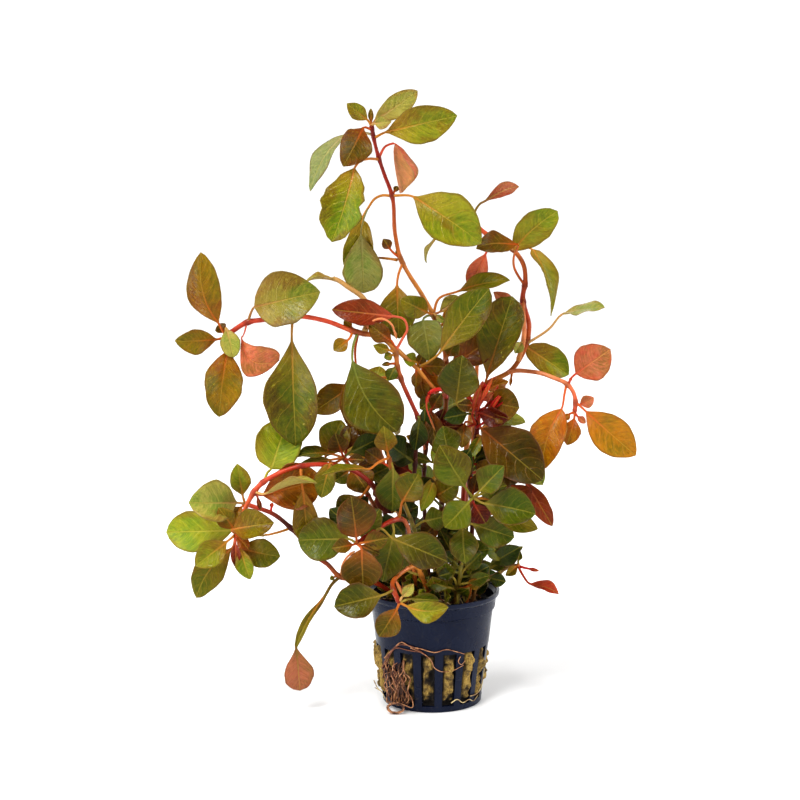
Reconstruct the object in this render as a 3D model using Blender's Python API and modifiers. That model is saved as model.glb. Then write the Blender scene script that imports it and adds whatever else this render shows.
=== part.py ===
"""Ludwigia repens, an aquarium plant, in the net pot that it is sold in.

Every length is in millimetres and becomes metres where a mesh is made. The origin is the centre of
the pot's foot, +Z is up and the plant is seen from -Y. The pot, the plug and the roots are given in
those axes. Places on the plant are given as (across, up, back): across and up as the eye sees them
on an upright plane through the pot's axis, and back as the depth behind that plane.
"""

import math
from collections import namedtuple

import bmesh
import bpy
from mathutils import Quaternion, Vector

MM = 0.001

# The eye, whose line of sight falls through a point of the plane in the middle of the plant
EYE_DISTANCE = 800.0
EYE_FALL = math.radians(9)
EYE_AIM = (-13.44, 124.74)

# The pot: rim, collar, tapered wall and foot
POT_HEIGHT = 47.0
RIM_RADIUS = 28.0
COLLAR_RADIUS = 26.6
COLLAR_HEIGHT = 7.5
WALL_TOP_RADIUS = 25.4
FOOT_RADIUS = 20.5
WALL = 1.2
FLOOR = 1.6
SLOTS = 16
SLOT_WIDTH = 5.4
SLOT_FROM, SLOT_TO = 2.4, 25.0
SLOT_TURN = math.radians(6)
ROUND_FACES = 32

# The mineral wool and the gap that touching pieces keep
PLUG_TOP = 42.5
PLUG_CROWN = 1.6
PLUG_CROWN_RADIUS = 12.0
PLUG_SHOULDER = 1.1
PLUG_EDGE_DROP = 1.0
GAP = 0.3

# Leaves
LEAF_THICKNESS = 0.7
PETIOLE_WIDTH = 1.3
TIP_WIDTH = 1.0
STALK_CLEAR = 2.2

Leaf = namedtuple("Leaf", "stalk tip width roll arch fold bend", defaults=(0, 0.06, 8, 0))
Stem = namedtuple("Stem", "radius points rooted", defaults=(True,))


# The plant's own coordinates
def eye_frame():
    """The eye, and the plane's up direction as the eye sees it."""
    ahead = Vector((0, math.cos(EYE_FALL), -math.sin(EYE_FALL)))
    up = Vector((0, math.sin(EYE_FALL), math.cos(EYE_FALL)))
    aim = Vector((EYE_AIM[0], 0, 0)) + EYE_AIM[1] * up
    return aim - EYE_DISTANCE * ahead, up


EYE, EYE_UP = eye_frame()


def seen(place):
    """The point that the eye sees at (across, up) and that lies back behind the plane."""
    across, up, back = place
    through = Vector((across, 0, 0)) + up * EYE_UP
    reach = (back - EYE.y) / (through.y - EYE.y)
    return EYE + (through - EYE) * reach


# Materials
def material(name, colour, roughness):
    made = bpy.data.materials.new(name)
    made.use_nodes = True
    shader = made.node_tree.nodes["Principled BSDF"]
    shader.inputs["Base Color"].default_value = (*colour, 1)
    shader.inputs["Roughness"].default_value = roughness
    made.diffuse_color = (*colour, 1)
    return made


def clear_scene():
    for old in list(bpy.data.objects):
        bpy.data.objects.remove(old)


clear_scene()
PLANT = bpy.data.collections.new("ludwigia_repens")
TOOLS = bpy.data.collections.new("joined_and_cut")
bpy.context.scene.collection.children.link(PLANT)
bpy.context.scene.collection.children.link(TOOLS)

POT_PLASTIC = material("pot_plastic", (0.016, 0.03, 0.055), 0.4)
MINERAL_WOOL = material("mineral_wool", (0.3, 0.22, 0.05), 0.95)
ROOT_FIBRE = material("root_fibre", (0.2, 0.1, 0.05), 0.8)
STEM_RED = material("stem_red", (0.55, 0.08, 0.04), 0.45)
LEAF_GREEN = material("leaf_green", (0.16, 0.18, 0.01), 0.45)
LEAF_RED = material("leaf_red", (0.5, 0.13, 0.05), 0.5)


# Mesh helpers
def place(name, mesh, finish, collection=PLANT):
    made = bpy.data.objects.new(name, mesh)
    collection.objects.link(made)
    mesh.materials.clear()
    mesh.materials.append(finish)
    return made


def as_tool(made):
    made.hide_render = True
    made.display_type = "WIRE"


def settled_mesh(made):
    """The mesh that an object's modifiers leave, with loose caps welded."""
    graph = bpy.context.evaluated_depsgraph_get()
    graph.update()
    mesh = bpy.data.meshes.new_from_object(made.evaluated_get(graph))
    bm = bmesh.new()
    bm.from_mesh(mesh)
    bmesh.ops.remove_doubles(bm, verts=bm.verts, dist=1e-6)
    bmesh.ops.recalc_face_normals(bm, faces=bm.faces)
    bm.to_mesh(mesh)
    bm.free()
    return mesh


def tube(name, points, radii, finish, collection):
    """A round stem along points, whose radius may taper from point to point."""
    curve = bpy.data.curves.new(name, "CURVE")
    curve.dimensions = "3D"
    curve.bevel_depth = MM
    curve.bevel_resolution = 1
    curve.use_fill_caps = True
    spline = curve.splines.new("POLY")
    spline.points.add(len(points) - 1)
    for node, point, radius in zip(spline.points, points, radii):
        node.co = (*(point * MM), 1)
        node.radius = radius
    drawn = bpy.data.objects.new(name + "_curve", curve)
    TOOLS.objects.link(drawn)
    mesh = settled_mesh(drawn)
    bpy.data.objects.remove(drawn)
    return place(name, mesh, finish, collection)


def joined(first, others, finish):
    """One body from a tube and what grows on it."""
    group = bpy.data.collections.new(first.name + "_joined")
    TOOLS.children.link(group)
    for other in others:
        TOOLS.objects.unlink(other)
        group.objects.link(other)
        as_tool(other)
    union = first.modifiers.new("joined", "BOOLEAN")
    union.operation = "UNION"
    union.operand_type = "COLLECTION"
    union.collection = group
    union.solver = "EXACT"
    mesh = settled_mesh(first)
    name = first.name
    for old in [first, *others]:
        bpy.data.objects.remove(old)
    bpy.data.collections.remove(group)
    return place(name, mesh, finish)


# Leaves
def blade_width(along, width):
    """Full width of a blade: widest a little before its middle, drawn out to the petiole."""
    swell = math.sin(math.pi * along**0.9) ** 0.8 if 0 < along < 1 else 0
    return max(width * swell, TIP_WIDTH if along > 0.5 else PETIOLE_WIDTH)


def leaf_rows(leaf, steps, clear):
    """Centre, side direction, face direction, half-width and fold for each row from stem to tip."""
    stalk = [seen(point) for point in leaf.stalk]
    base, tip = stalk[-1], seen(leaf.tip)
    length = (tip - base).length
    axis = (tip - base) / length
    face = (EYE - base).normalized()
    face = (face - face.dot(axis) * axis).normalized()
    face.rotate(Quaternion(axis, math.radians(leaf.roll)))
    side = axis.cross(face)
    first = stalk[1] - stalk[0]
    stalk[0] = stalk[0] + first.normalized() * min(clear, 0.7 * first.length)
    rows = []
    for step in range(steps + 1):
        along = step / steps
        rise = 4 * along * (1 - along) * length
        centre = base + axis * length * along + face * leaf.arch * rise + side * leaf.bend * rise
        lean = leaf.fold * math.sin(math.pi * along) ** 0.5 if 0 < along < 1 else 0
        rows.append((centre, side, face, blade_width(along, leaf.width) / 2, math.radians(lean)))
    ahead = rows[1][0] - rows[0][0]
    stalk_rows = []
    for near, far in zip(reversed(stalk[:-1]), reversed(stalk[1:])):
        turn = ahead.rotation_difference(far - near)
        side, face = side.copy(), face.copy()
        side.rotate(turn)
        face.rotate(turn)
        ahead = far - near
        stalk_rows.insert(0, (near, side, face, PETIOLE_WIDTH / 2, 0))
    return stalk_rows + rows


def leaf_solid(name, leaf, steps, finish, collection, clear):
    """A leaf: a grid laid along its rows, folded at the midrib and given its thickness."""
    rows = leaf_rows(leaf, steps, clear)
    bm = bmesh.new()
    bmesh.ops.create_grid(bm, x_segments=2, y_segments=len(rows) - 1, size=1)
    for corner in bm.verts:
        row = round((corner.co.y + 1) / 2 * (len(rows) - 1))
        centre, side, face, half, lean = rows[row]
        out = corner.co.x * half
        corner.co = (centre + side * out * math.cos(lean) + face * abs(out) * math.sin(lean)) * MM
    mesh = bpy.data.meshes.new(name)
    bm.to_mesh(mesh)
    bm.free()
    made = place(name, mesh, finish, collection)
    shell = made.modifiers.new("thickness", "SOLIDIFY")
    shell.thickness = LEAF_THICKNESS * MM
    shell.offset = 0
    settled = settled_mesh(made)
    bpy.data.objects.remove(made)
    return place(name, settled, finish, collection)


# The pot
def turned(name, profile, finish, collection=PLANT, faces=ROUND_FACES):
    """A turned piece from (radius, height) points that run down its outer side."""
    bm = bmesh.new()
    points = [bm.verts.new((radius * MM, 0, height * MM)) for radius, height in profile]
    for a, b in zip(points, points[1:]):
        bm.edges.new((a, b))
    mesh = bpy.data.meshes.new(name)
    bm.to_mesh(mesh)
    bm.free()
    made = place(name, mesh, finish, collection)
    spin = made.modifiers.new("turned", "SCREW")
    spin.axis = "Z"
    spin.steps = spin.render_steps = faces
    spin.use_merge_vertices = True
    spin.merge_threshold = 0.00001
    return made


def wall_radius(height):
    """Outer radius of the tapered wall."""
    return FOOT_RADIUS + (WALL_TOP_RADIUS - FOOT_RADIUS) * height / (POT_HEIGHT - COLLAR_HEIGHT)


def make_pot():
    under_collar = POT_HEIGHT - COLLAR_HEIGHT
    profile = [
        (RIM_RADIUS - WALL, POT_HEIGHT),
        (RIM_RADIUS, POT_HEIGHT),
        (RIM_RADIUS, POT_HEIGHT - 1.6),
        (COLLAR_RADIUS, POT_HEIGHT - 2.4),
        (COLLAR_RADIUS - 0.4, under_collar + 0.6),
        (wall_radius(under_collar), under_collar),
        (FOOT_RADIUS, 0),
        (0, 0),
        (0, FLOOR),
        (wall_radius(FLOOR) - WALL, FLOOR),
        (wall_radius(under_collar) - WALL, under_collar),
        (RIM_RADIUS - WALL, POT_HEIGHT),
    ]
    pot = turned("net_pot", profile, POT_PLASTIC)
    slots = []
    for index in range(SLOTS):
        bm = bmesh.new()
        bmesh.ops.create_cube(bm, size=1)
        for corner in bm.verts:
            out = 0.5 * (WALL_TOP_RADIUS + FOOT_RADIUS)
            corner.co.x *= 14
            corner.co.y *= SLOT_WIDTH
            corner.co.z *= SLOT_TO - SLOT_FROM
            corner.co += Vector((out, 0, (SLOT_FROM + SLOT_TO) / 2))
            corner.co *= MM
        mesh = bpy.data.meshes.new("slot")
        bm.to_mesh(mesh)
        bm.free()
        slot = place(f"slot_{index + 1:02d}", mesh, POT_PLASTIC, TOOLS)
        slot.rotation_euler.z = 2 * math.pi * (index + 0.5) / SLOTS - math.pi / 2 + SLOT_TURN
        as_tool(slot)
        slots.append(slot)
    group = bpy.data.collections.new("slots")
    TOOLS.children.link(group)
    for slot in slots:
        TOOLS.objects.unlink(slot)
        group.objects.link(slot)
    cut = pot.modifiers.new("slots", "BOOLEAN")
    cut.operation = "DIFFERENCE"
    cut.operand_type = "COLLECTION"
    cut.collection = group
    cut.solver = "EXACT"


def plug_radius(height):
    """Radius of the plug where it stands clear of the tapered wall."""
    return wall_radius(height) - WALL - GAP


def plug_height(radius):
    """Height of the plug's top: a low crown, then a slope down to its edge."""
    edge = plug_radius(POT_HEIGHT - COLLAR_HEIGHT)
    if radius < PLUG_CROWN_RADIUS:
        return PLUG_TOP + PLUG_CROWN - (PLUG_CROWN - PLUG_SHOULDER) * radius / PLUG_CROWN_RADIUS
    slope = (PLUG_SHOULDER + PLUG_EDGE_DROP) / (edge - PLUG_CROWN_RADIUS)
    return PLUG_TOP + PLUG_SHOULDER - slope * (radius - PLUG_CROWN_RADIUS)


def make_plug():
    edge = plug_radius(POT_HEIGHT - COLLAR_HEIGHT)
    profile = [
        (0, plug_height(0)),
        (PLUG_CROWN_RADIUS, plug_height(PLUG_CROWN_RADIUS)),
        (edge, plug_height(edge)),
        (edge, POT_HEIGHT - COLLAR_HEIGHT),
        (plug_radius(FLOOR + GAP), FLOOR + GAP),
        (0, FLOOR + GAP),
    ]
    turned("mineral_wool_plug", profile, MINERAL_WOOL, faces=24)


# The roots: a mat over the front left slots and strands that run to a knot on the floor
ROOT_MAT_FROM, ROOT_MAT_TO = math.radians(-145), math.radians(-112)
ROOT_MAT_LOW, ROOT_MAT_HIGH = 2.0, 20.0
ROOT_MAT_THICKNESS = 2.0
ROOTS = (
    ((-14, -19.5, 15), (-17, -20.5, 9), (-18, -21.5, 3), (-16.5, -24, 1.3), (-12, -24.5, 1.2)),
    ((-17, -18, 12), (-20, -18.5, 6), (-20.5, -20, 1.6), (-17, -22.5, 1.2)),
    ((-11, -21, 14), (-12.5, -22.5, 7), (-14, -24, 2.0), (-18.5, -23, 1.6)),
)
ROOT_RADIUS = 0.8


def make_roots():
    bm = bmesh.new()
    bmesh.ops.create_grid(bm, x_segments=6, y_segments=5, size=1)
    for corner in bm.verts:
        across, up = (corner.co.x + 1) / 2, (corner.co.y + 1) / 2
        height = ROOT_MAT_LOW + (ROOT_MAT_HIGH - ROOT_MAT_LOW) * up
        height -= 5 * up * abs(2 * across - 0.9) ** 2
        angle = ROOT_MAT_FROM + (ROOT_MAT_TO - ROOT_MAT_FROM) * across
        stand_off = GAP + ROOT_MAT_THICKNESS / 2 + 0.8 * math.sin(5 * across + 4 * up) ** 2
        radius = wall_radius(height) + stand_off
        corner.co = Vector((radius * math.cos(angle), radius * math.sin(angle), height)) * MM
    mesh = bpy.data.meshes.new("root_mat")
    bm.to_mesh(mesh)
    bm.free()
    mat = place("root_tangle", mesh, ROOT_FIBRE, TOOLS)
    shell = mat.modifiers.new("thickness", "SOLIDIFY")
    shell.thickness = ROOT_MAT_THICKNESS * MM
    shell.offset = 0
    settled = settled_mesh(mat)
    bpy.data.objects.remove(mat)
    body = place("root_tangle", settled, ROOT_FIBRE, TOOLS)
    strands = []
    for index, route in enumerate(ROOTS):
        points = [Vector(point) for point in route]
        strand = tube(f"root_{index + 1}", points, [ROOT_RADIUS] * len(points), ROOT_FIBRE, TOOLS)
        strands.append(strand)
    joined(body, strands, ROOT_FIBRE)


# Stems, each from its lowest point above the plug to its tip
STEMS = {
    "tall_stem": Stem((1.25, 0.7), (
        (3, 54, 4), (4, 78, 4), (4.5, 104, 3), (6, 130, 2), (5.4, 145, 1), (3.4, 153, 0),
        (0.6, 160.3, -1), (-4.7, 169.8, -1), (-10.1, 178.2, -1.5), (-13.1, 184, -2),
        (-15.4, 194, -2), (-16.8, 210.7, -2), (-20, 219.5, -1), (-22.3, 226.3, -1),
        (-24.5, 235, -1), (-25.5, 240.5, -1), (-25.5, 246, -1))),
    "left_arch_stem": Stem((0.9, 1.1), (
        (-6, 50, -3), (-8, 80, -8), (-6.6, 106, -11), (-6, 117.6, -11), (-8, 122.2, -11),
        (-12.9, 133.3, -12), (-14.6, 139, -13), (-15.4, 144.7, -13.5), (-18.5, 149, -14),
        (-23.3, 151.4, -14.5), (-32.4, 153.5, -15), (-44.6, 158, -17), (-55, 159.9, -18.5),
        (-71.4, 158.4, -20), (-77.3, 157.5, -20), (-83.5, 153.9, -20), (-87, 151.2, -20))),
    "lower_left_upper_stem": Stem((1.0, 1.1), (
        (-11, 46, -8), (-18, 72, -17), (-27, 91, -26), (-34, 95.5, -30), (-40.1, 97, -32),
        (-55, 97, -34), (-65.2, 93.5, -35), (-72.8, 88.5, -35), (-75.1, 85.5, -35),
        (-79.3, 77, -34.5), (-82.5, 68, -33.5))),
    "lower_left_lower_stem": Stem((1.0, 0.9), (
        (-17, 44, -6), (-24, 48, -9), (-30, 49, -11), (-38.6, 50.5, -14), (-44, 55.8, -17),
        (-48.5, 58.9, -19), (-58.3, 70, -22), (-67.8, 77.4, -24), (-73, 79.3, -25),
        (-78.9, 81.2, -25))),
    "front_left_shoot": Stem((0.9, 0.9), (
        (-7, 44, -13), (-8.5, 62, -21), (-13.3, 74.8, -28), (-17.5, 73.7, -31),
        (-21.8, 71.4, -34), (-27.9, 66.9, -37), (-31.7, 64.5, -38.5))),
    "front_low_shoot": Stem((0.9, 0.9), (
        (-1, 42, -15), (-4, 50, -21), (-7.4, 54.9, -28), (-14.3, 50.9, -34),
        (-16.6, 47.8, -38), (-15.8, 44, -41), (-13.5, 39.4, -43))),
    "front_right_shoot": Stem((1.1, 0.8), (
        (7, 46, -8), (10, 58, -12), (13, 70, -17), (17.3, 84, -24))),
    "mid_shoot": Stem((0.9, 0.8), (
        (-1.5, 47, -6), (-6, 66, -13), (-12, 82, -20), (-15.2, 90, -23.5), (-18.3, 101, -28))),
    "mid_left_shoot": Stem((0.9, 0.8), (
        (-12, 50, 2), (-20, 72, -4), (-30, 90, -13), (-37.4, 101, -20))),
    "right_high_stem": Stem((1.2, 0.9), (
        (11, 52, 3), (13, 80, 8), (15, 108, 10), (20.5, 129.8, 10), (33.9, 137.9, 10),
        (38.9, 146.3, 10), (40.8, 155.3, 10), (38.1, 167.9, 10), (39.2, 175, 10),
        (38.5, 181.4, 9), (33, 189, 8), (21.4, 195.6, 7), (17, 200, 7))),
    "right_side_stem": Stem((0.9, 0.8), (
        (36.3, 137.0, 8), (39.7, 136.9, 6), (45.7, 136, 3), (51.5, 133.9, 1),
        (56.5, 131.6, 0), (59.1, 128.6, -1), (60.3, 124.7, -1), (59.9, 119.4, -1)), False),
    "upper_centre_shoot": Stem((0.9, 0.8), (
        (-1.5, 52, 2), (-3.5, 90, 0), (-2.5, 118, -3), (-6.3, 138, -6))),
    "right_middle_shoot": Stem((1.0, 0.9), (
        (15, 48, -2), (17, 76, 0), (16, 95, 0), (19, 113, -2), (19, 125, -3))),
    "rim_right_shoot": Stem((0.8, 0.7), (
        (17, 41, -9), (18.5, 45.5, -9), (23, 49.5, -7.5), (28, 52, -6), (32.5, 55, -6), (36.4, 55.2, -6))),
    "low_shoot": Stem((0.8, 0.7), ((10, 43, -13), (11.5, 49, -16), (12.5, 56, -19))),
    "back_left_shoot": Stem((1.0, 0.8), (
        (-8, 52, 8), (-14, 78, 15), (-22, 104, 23), (-25, 122, 27))),
    "back_right_shoot": Stem((1.0, 0.8), (
        (10, 54, 11), (15, 88, 19), (18, 118, 26), (19, 142, 30))),
    "back_low_shoot": Stem((0.9, 0.8), ((2, 54, 12), (5, 72, 23), (8, 90, 33))),
}

# Leaves that are pieces of their own. A stalk runs from the stem to the blade's base.
LEAVES = {
    "leaf_top_right": Leaf([(-24, 235, -1), (-19.5, 237.2, -3)], (10.5, 244.2, -9), 15.5, -12),
    "leaf_top_round": Leaf([(-25.5, 238.4, -1), (-28.2, 239, -3)], (-35.2, 223, -12), 13.6),
    "leaf_top_left": Leaf(
        [(-25, 236.2, -0.5), (-31, 237.4, 2), (-35, 236.8, 4)], (-51.4, 212.6, 9), 11, 55, 0.14),
    "leaf_upper_left": Leaf(
        [(-22.8, 225.9, -1.5), (-27, 226, -5), (-30.5, 224.8, -8), (-32.6, 222, -9)],
        (-42.1, 191.2, -16), 18),
    "leaf_drooping": Leaf(
        [(-17, 210.4, -2), (-20.6, 210.7, 0), (-24, 209.3, 2), (-26.5, 205.9, 3),
         (-29.3, 199.2, 4)], (-28.3, 169.5, 6), 17),
    "leaf_upper_right": Leaf([(-16.8, 210.6, -2), (-7.8, 210.1, -5)], (20.7, 190.5, -12), 20.5, -10),
    "leaf_below_node": Leaf(
        [(-12.3, 182.4, -2), (-14.2, 177, -4), (-14.7, 173, -4.5)], (-13.8, 150.5, -7), 15.5),
    "leaf_right_spoon": Leaf([(33.5, 188.6, 7.5), (35.3, 189.5, 4)], (52.5, 201.5, -4), 13),
    "leaf_right_hanging": Leaf(
        [(33.8, 188.2, 8), (38, 189, 11), (42.5, 188, 11)], (49.8, 160, 9), 11, -55, 0.12),
    "leaf_right_level": Leaf(
        [(40.2, 148.6, 9.5), (49.5, 154.9, 6), (55.2, 161, 4)], (72.4, 164, -2), 14, -68, 0.05, 18),
    "leaf_far_right_salmon": Leaf(
        [(57.3, 131.4, 0), (58.7, 134.2, -2), (60.7, 136, -3)], (74.8, 146, -9), 14.5),
    "leaf_right_orange": Leaf(
        [(56.4, 131, 0), (55.6, 127, -2), (54.9, 120.3, -3)], (46.8, 95.4, -8), 14),
    "leaf_far_right_orange": Leaf(
        [(60.4, 123.8, -1), (63, 121.5, -3), (65.2, 119.4, -4)], (85.5, 101.6, -10), 14.5),
    "leaf_centre_long": Leaf(
        [(-5.2, 138.8, -7), (-1, 141, -11), (3, 144.3, -13)], (24, 171.5, -14), 16, -12),
    "leaf_centre_right": Leaf(
        [(19.8, 124.5, -3), (21.6, 129.5, -4), (22.5, 134, -4)], (33.5, 168.5, -2), 17),
    "leaf_centre_diamond": Leaf(
        [(18.8, 120.5, -3), (12, 121, -10), (10.2, 124, -12)], (12.6, 143.4, -16), 17),
    "leaf_right_dark": Leaf([(19.3, 117, -2.5), (20.8, 112, -5)], (46.5, 91.5, -14), 20),
    "leaf_left_long": Leaf(
        [(-58.5, 159.4, -18.6), (-58.8, 153, -21), (-58.9, 147.5, -23)], (-57.2, 105.4, -26), 21.5),
    "leaf_left_broad": Leaf(
        [(-31.3, 153, -15), (-33.2, 147, -18), (-33.4, 141, -19)], (-14, 111.6, -24), 23.5,
        bend=0.1),
    "leaf_left_red": Leaf(
        [(-15.2, 145.5, -13.5), (-12.4, 150.5, -12.5), (-10.4, 154.5, -12), (-12, 158.8, -12.5),
         (-15.5, 159.8, -13)], (-42, 162.7, -16), 11),
    "leaf_left_upper": Leaf(
        [(-77.2, 157.6, -20), (-76.2, 161, -22), (-74.6, 163.8, -23)], (-47, 170.2, -25), 21.5, -8),
    "leaf_far_left_upright": Leaf(
        [(-86.5, 151.5, -20), (-89.5, 157, -21), (-91.6, 160.8, -22)], (-97, 186.7, -25), 14.5),
    "leaf_far_left_hanging": Leaf([(-86.3, 151.3, -20), (-85.9, 145.4, -24)], (-89.4, 117.6, -28), 17),
    "leaf_far_left_salmon": Leaf(
        [(-77.6, 157.4, -20), (-79.5, 151.5, -22), (-79.8, 149.3, -23)], (-64.2, 144.3, -25), 14),
    "leaf_low_left_pale": Leaf([(-78.5, 81.1, -25), (-82.5, 80.9, -28)], (-102, 81, -38), 15.5),
    "leaf_low_left_bright": Leaf([(-82.2, 68.8, -33.5), (-86.5, 69.5, -30)], (-111.7, 69.2, -22), 16.5),
    "leaf_low_left_pointed": Leaf([(-82.5, 68.2, -33.5), (-84, 62.5, -34)], (-99, 41.6, -37), 14),
    "leaf_low_left_orange": Leaf([(-75.1, 85.5, -35), (-71, 84.4, -32)], (-46.3, 90.5, -27), 15),
    "leaf_low_left_upright": Leaf(
        [(-70.8, 90, -35), (-68, 94.8, -30), (-66.5, 97, -26)], (-62, 119, -14), 17.5),
    "leaf_front_left_brown": Leaf([(-31.5, 64.7, -38.5), (-31.8, 67.8, -40.5)], (-34, 84, -43), 16.5),
    "leaf_front_left_crinkled": Leaf([(-31.6, 64.6, -38.5), (-36, 66.8, -38)], (-56.3, 65.8, -36), 17.5),
    "leaf_front_left_olive": Leaf([(-31.4, 64.4, -38.5), (-29.4, 61, -41)], (-28.8, 45.3, -42), 16.5),
    "leaf_front_middle": Leaf(
        [(-23.8, 69.9, -35), (-21, 70.6, -38.5), (-16.6, 66.6, -40)], (6.5, 57, -39), 14.5),
    "leaf_front_green": Leaf([(-16.8, 73.9, -30.5), (-16, 69, -32)], (-20.8, 48.3, -34), 12.5),
    "leaf_front_low_dark": Leaf([(-16, 45, -40.5), (-21.8, 43, -45.5)], (-40.7, 38.8, -49), 13),
    "leaf_front_bright": Leaf([(17, 84, -24), (13.8, 88.3, -27)], (3.2, 105.6, -31), 15.5),
    "leaf_front_right": Leaf([(17.2, 83.7, -24), (21.8, 81.3, -27)], (43.5, 77, -31), 15.5),
    "leaf_trailing_salmon": Leaf(
        [(-38.6, 50.5, -14), (-42, 47.4, -17), (-44.3, 43.6, -18), (-47, 38.6, -18.5),
         (-49.9, 34.5, -19), (-53.5, 28.7, -19.5), (-57.2, 22, -20)], (-56, 2.5, -21), 11.5),
    "leaf_centre_blue_green": Leaf(
        [(-5.8, 138.3, -6.5), (-2.8, 142, -8)], (-2.6, 158.8, -7), 14.5),
}

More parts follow.
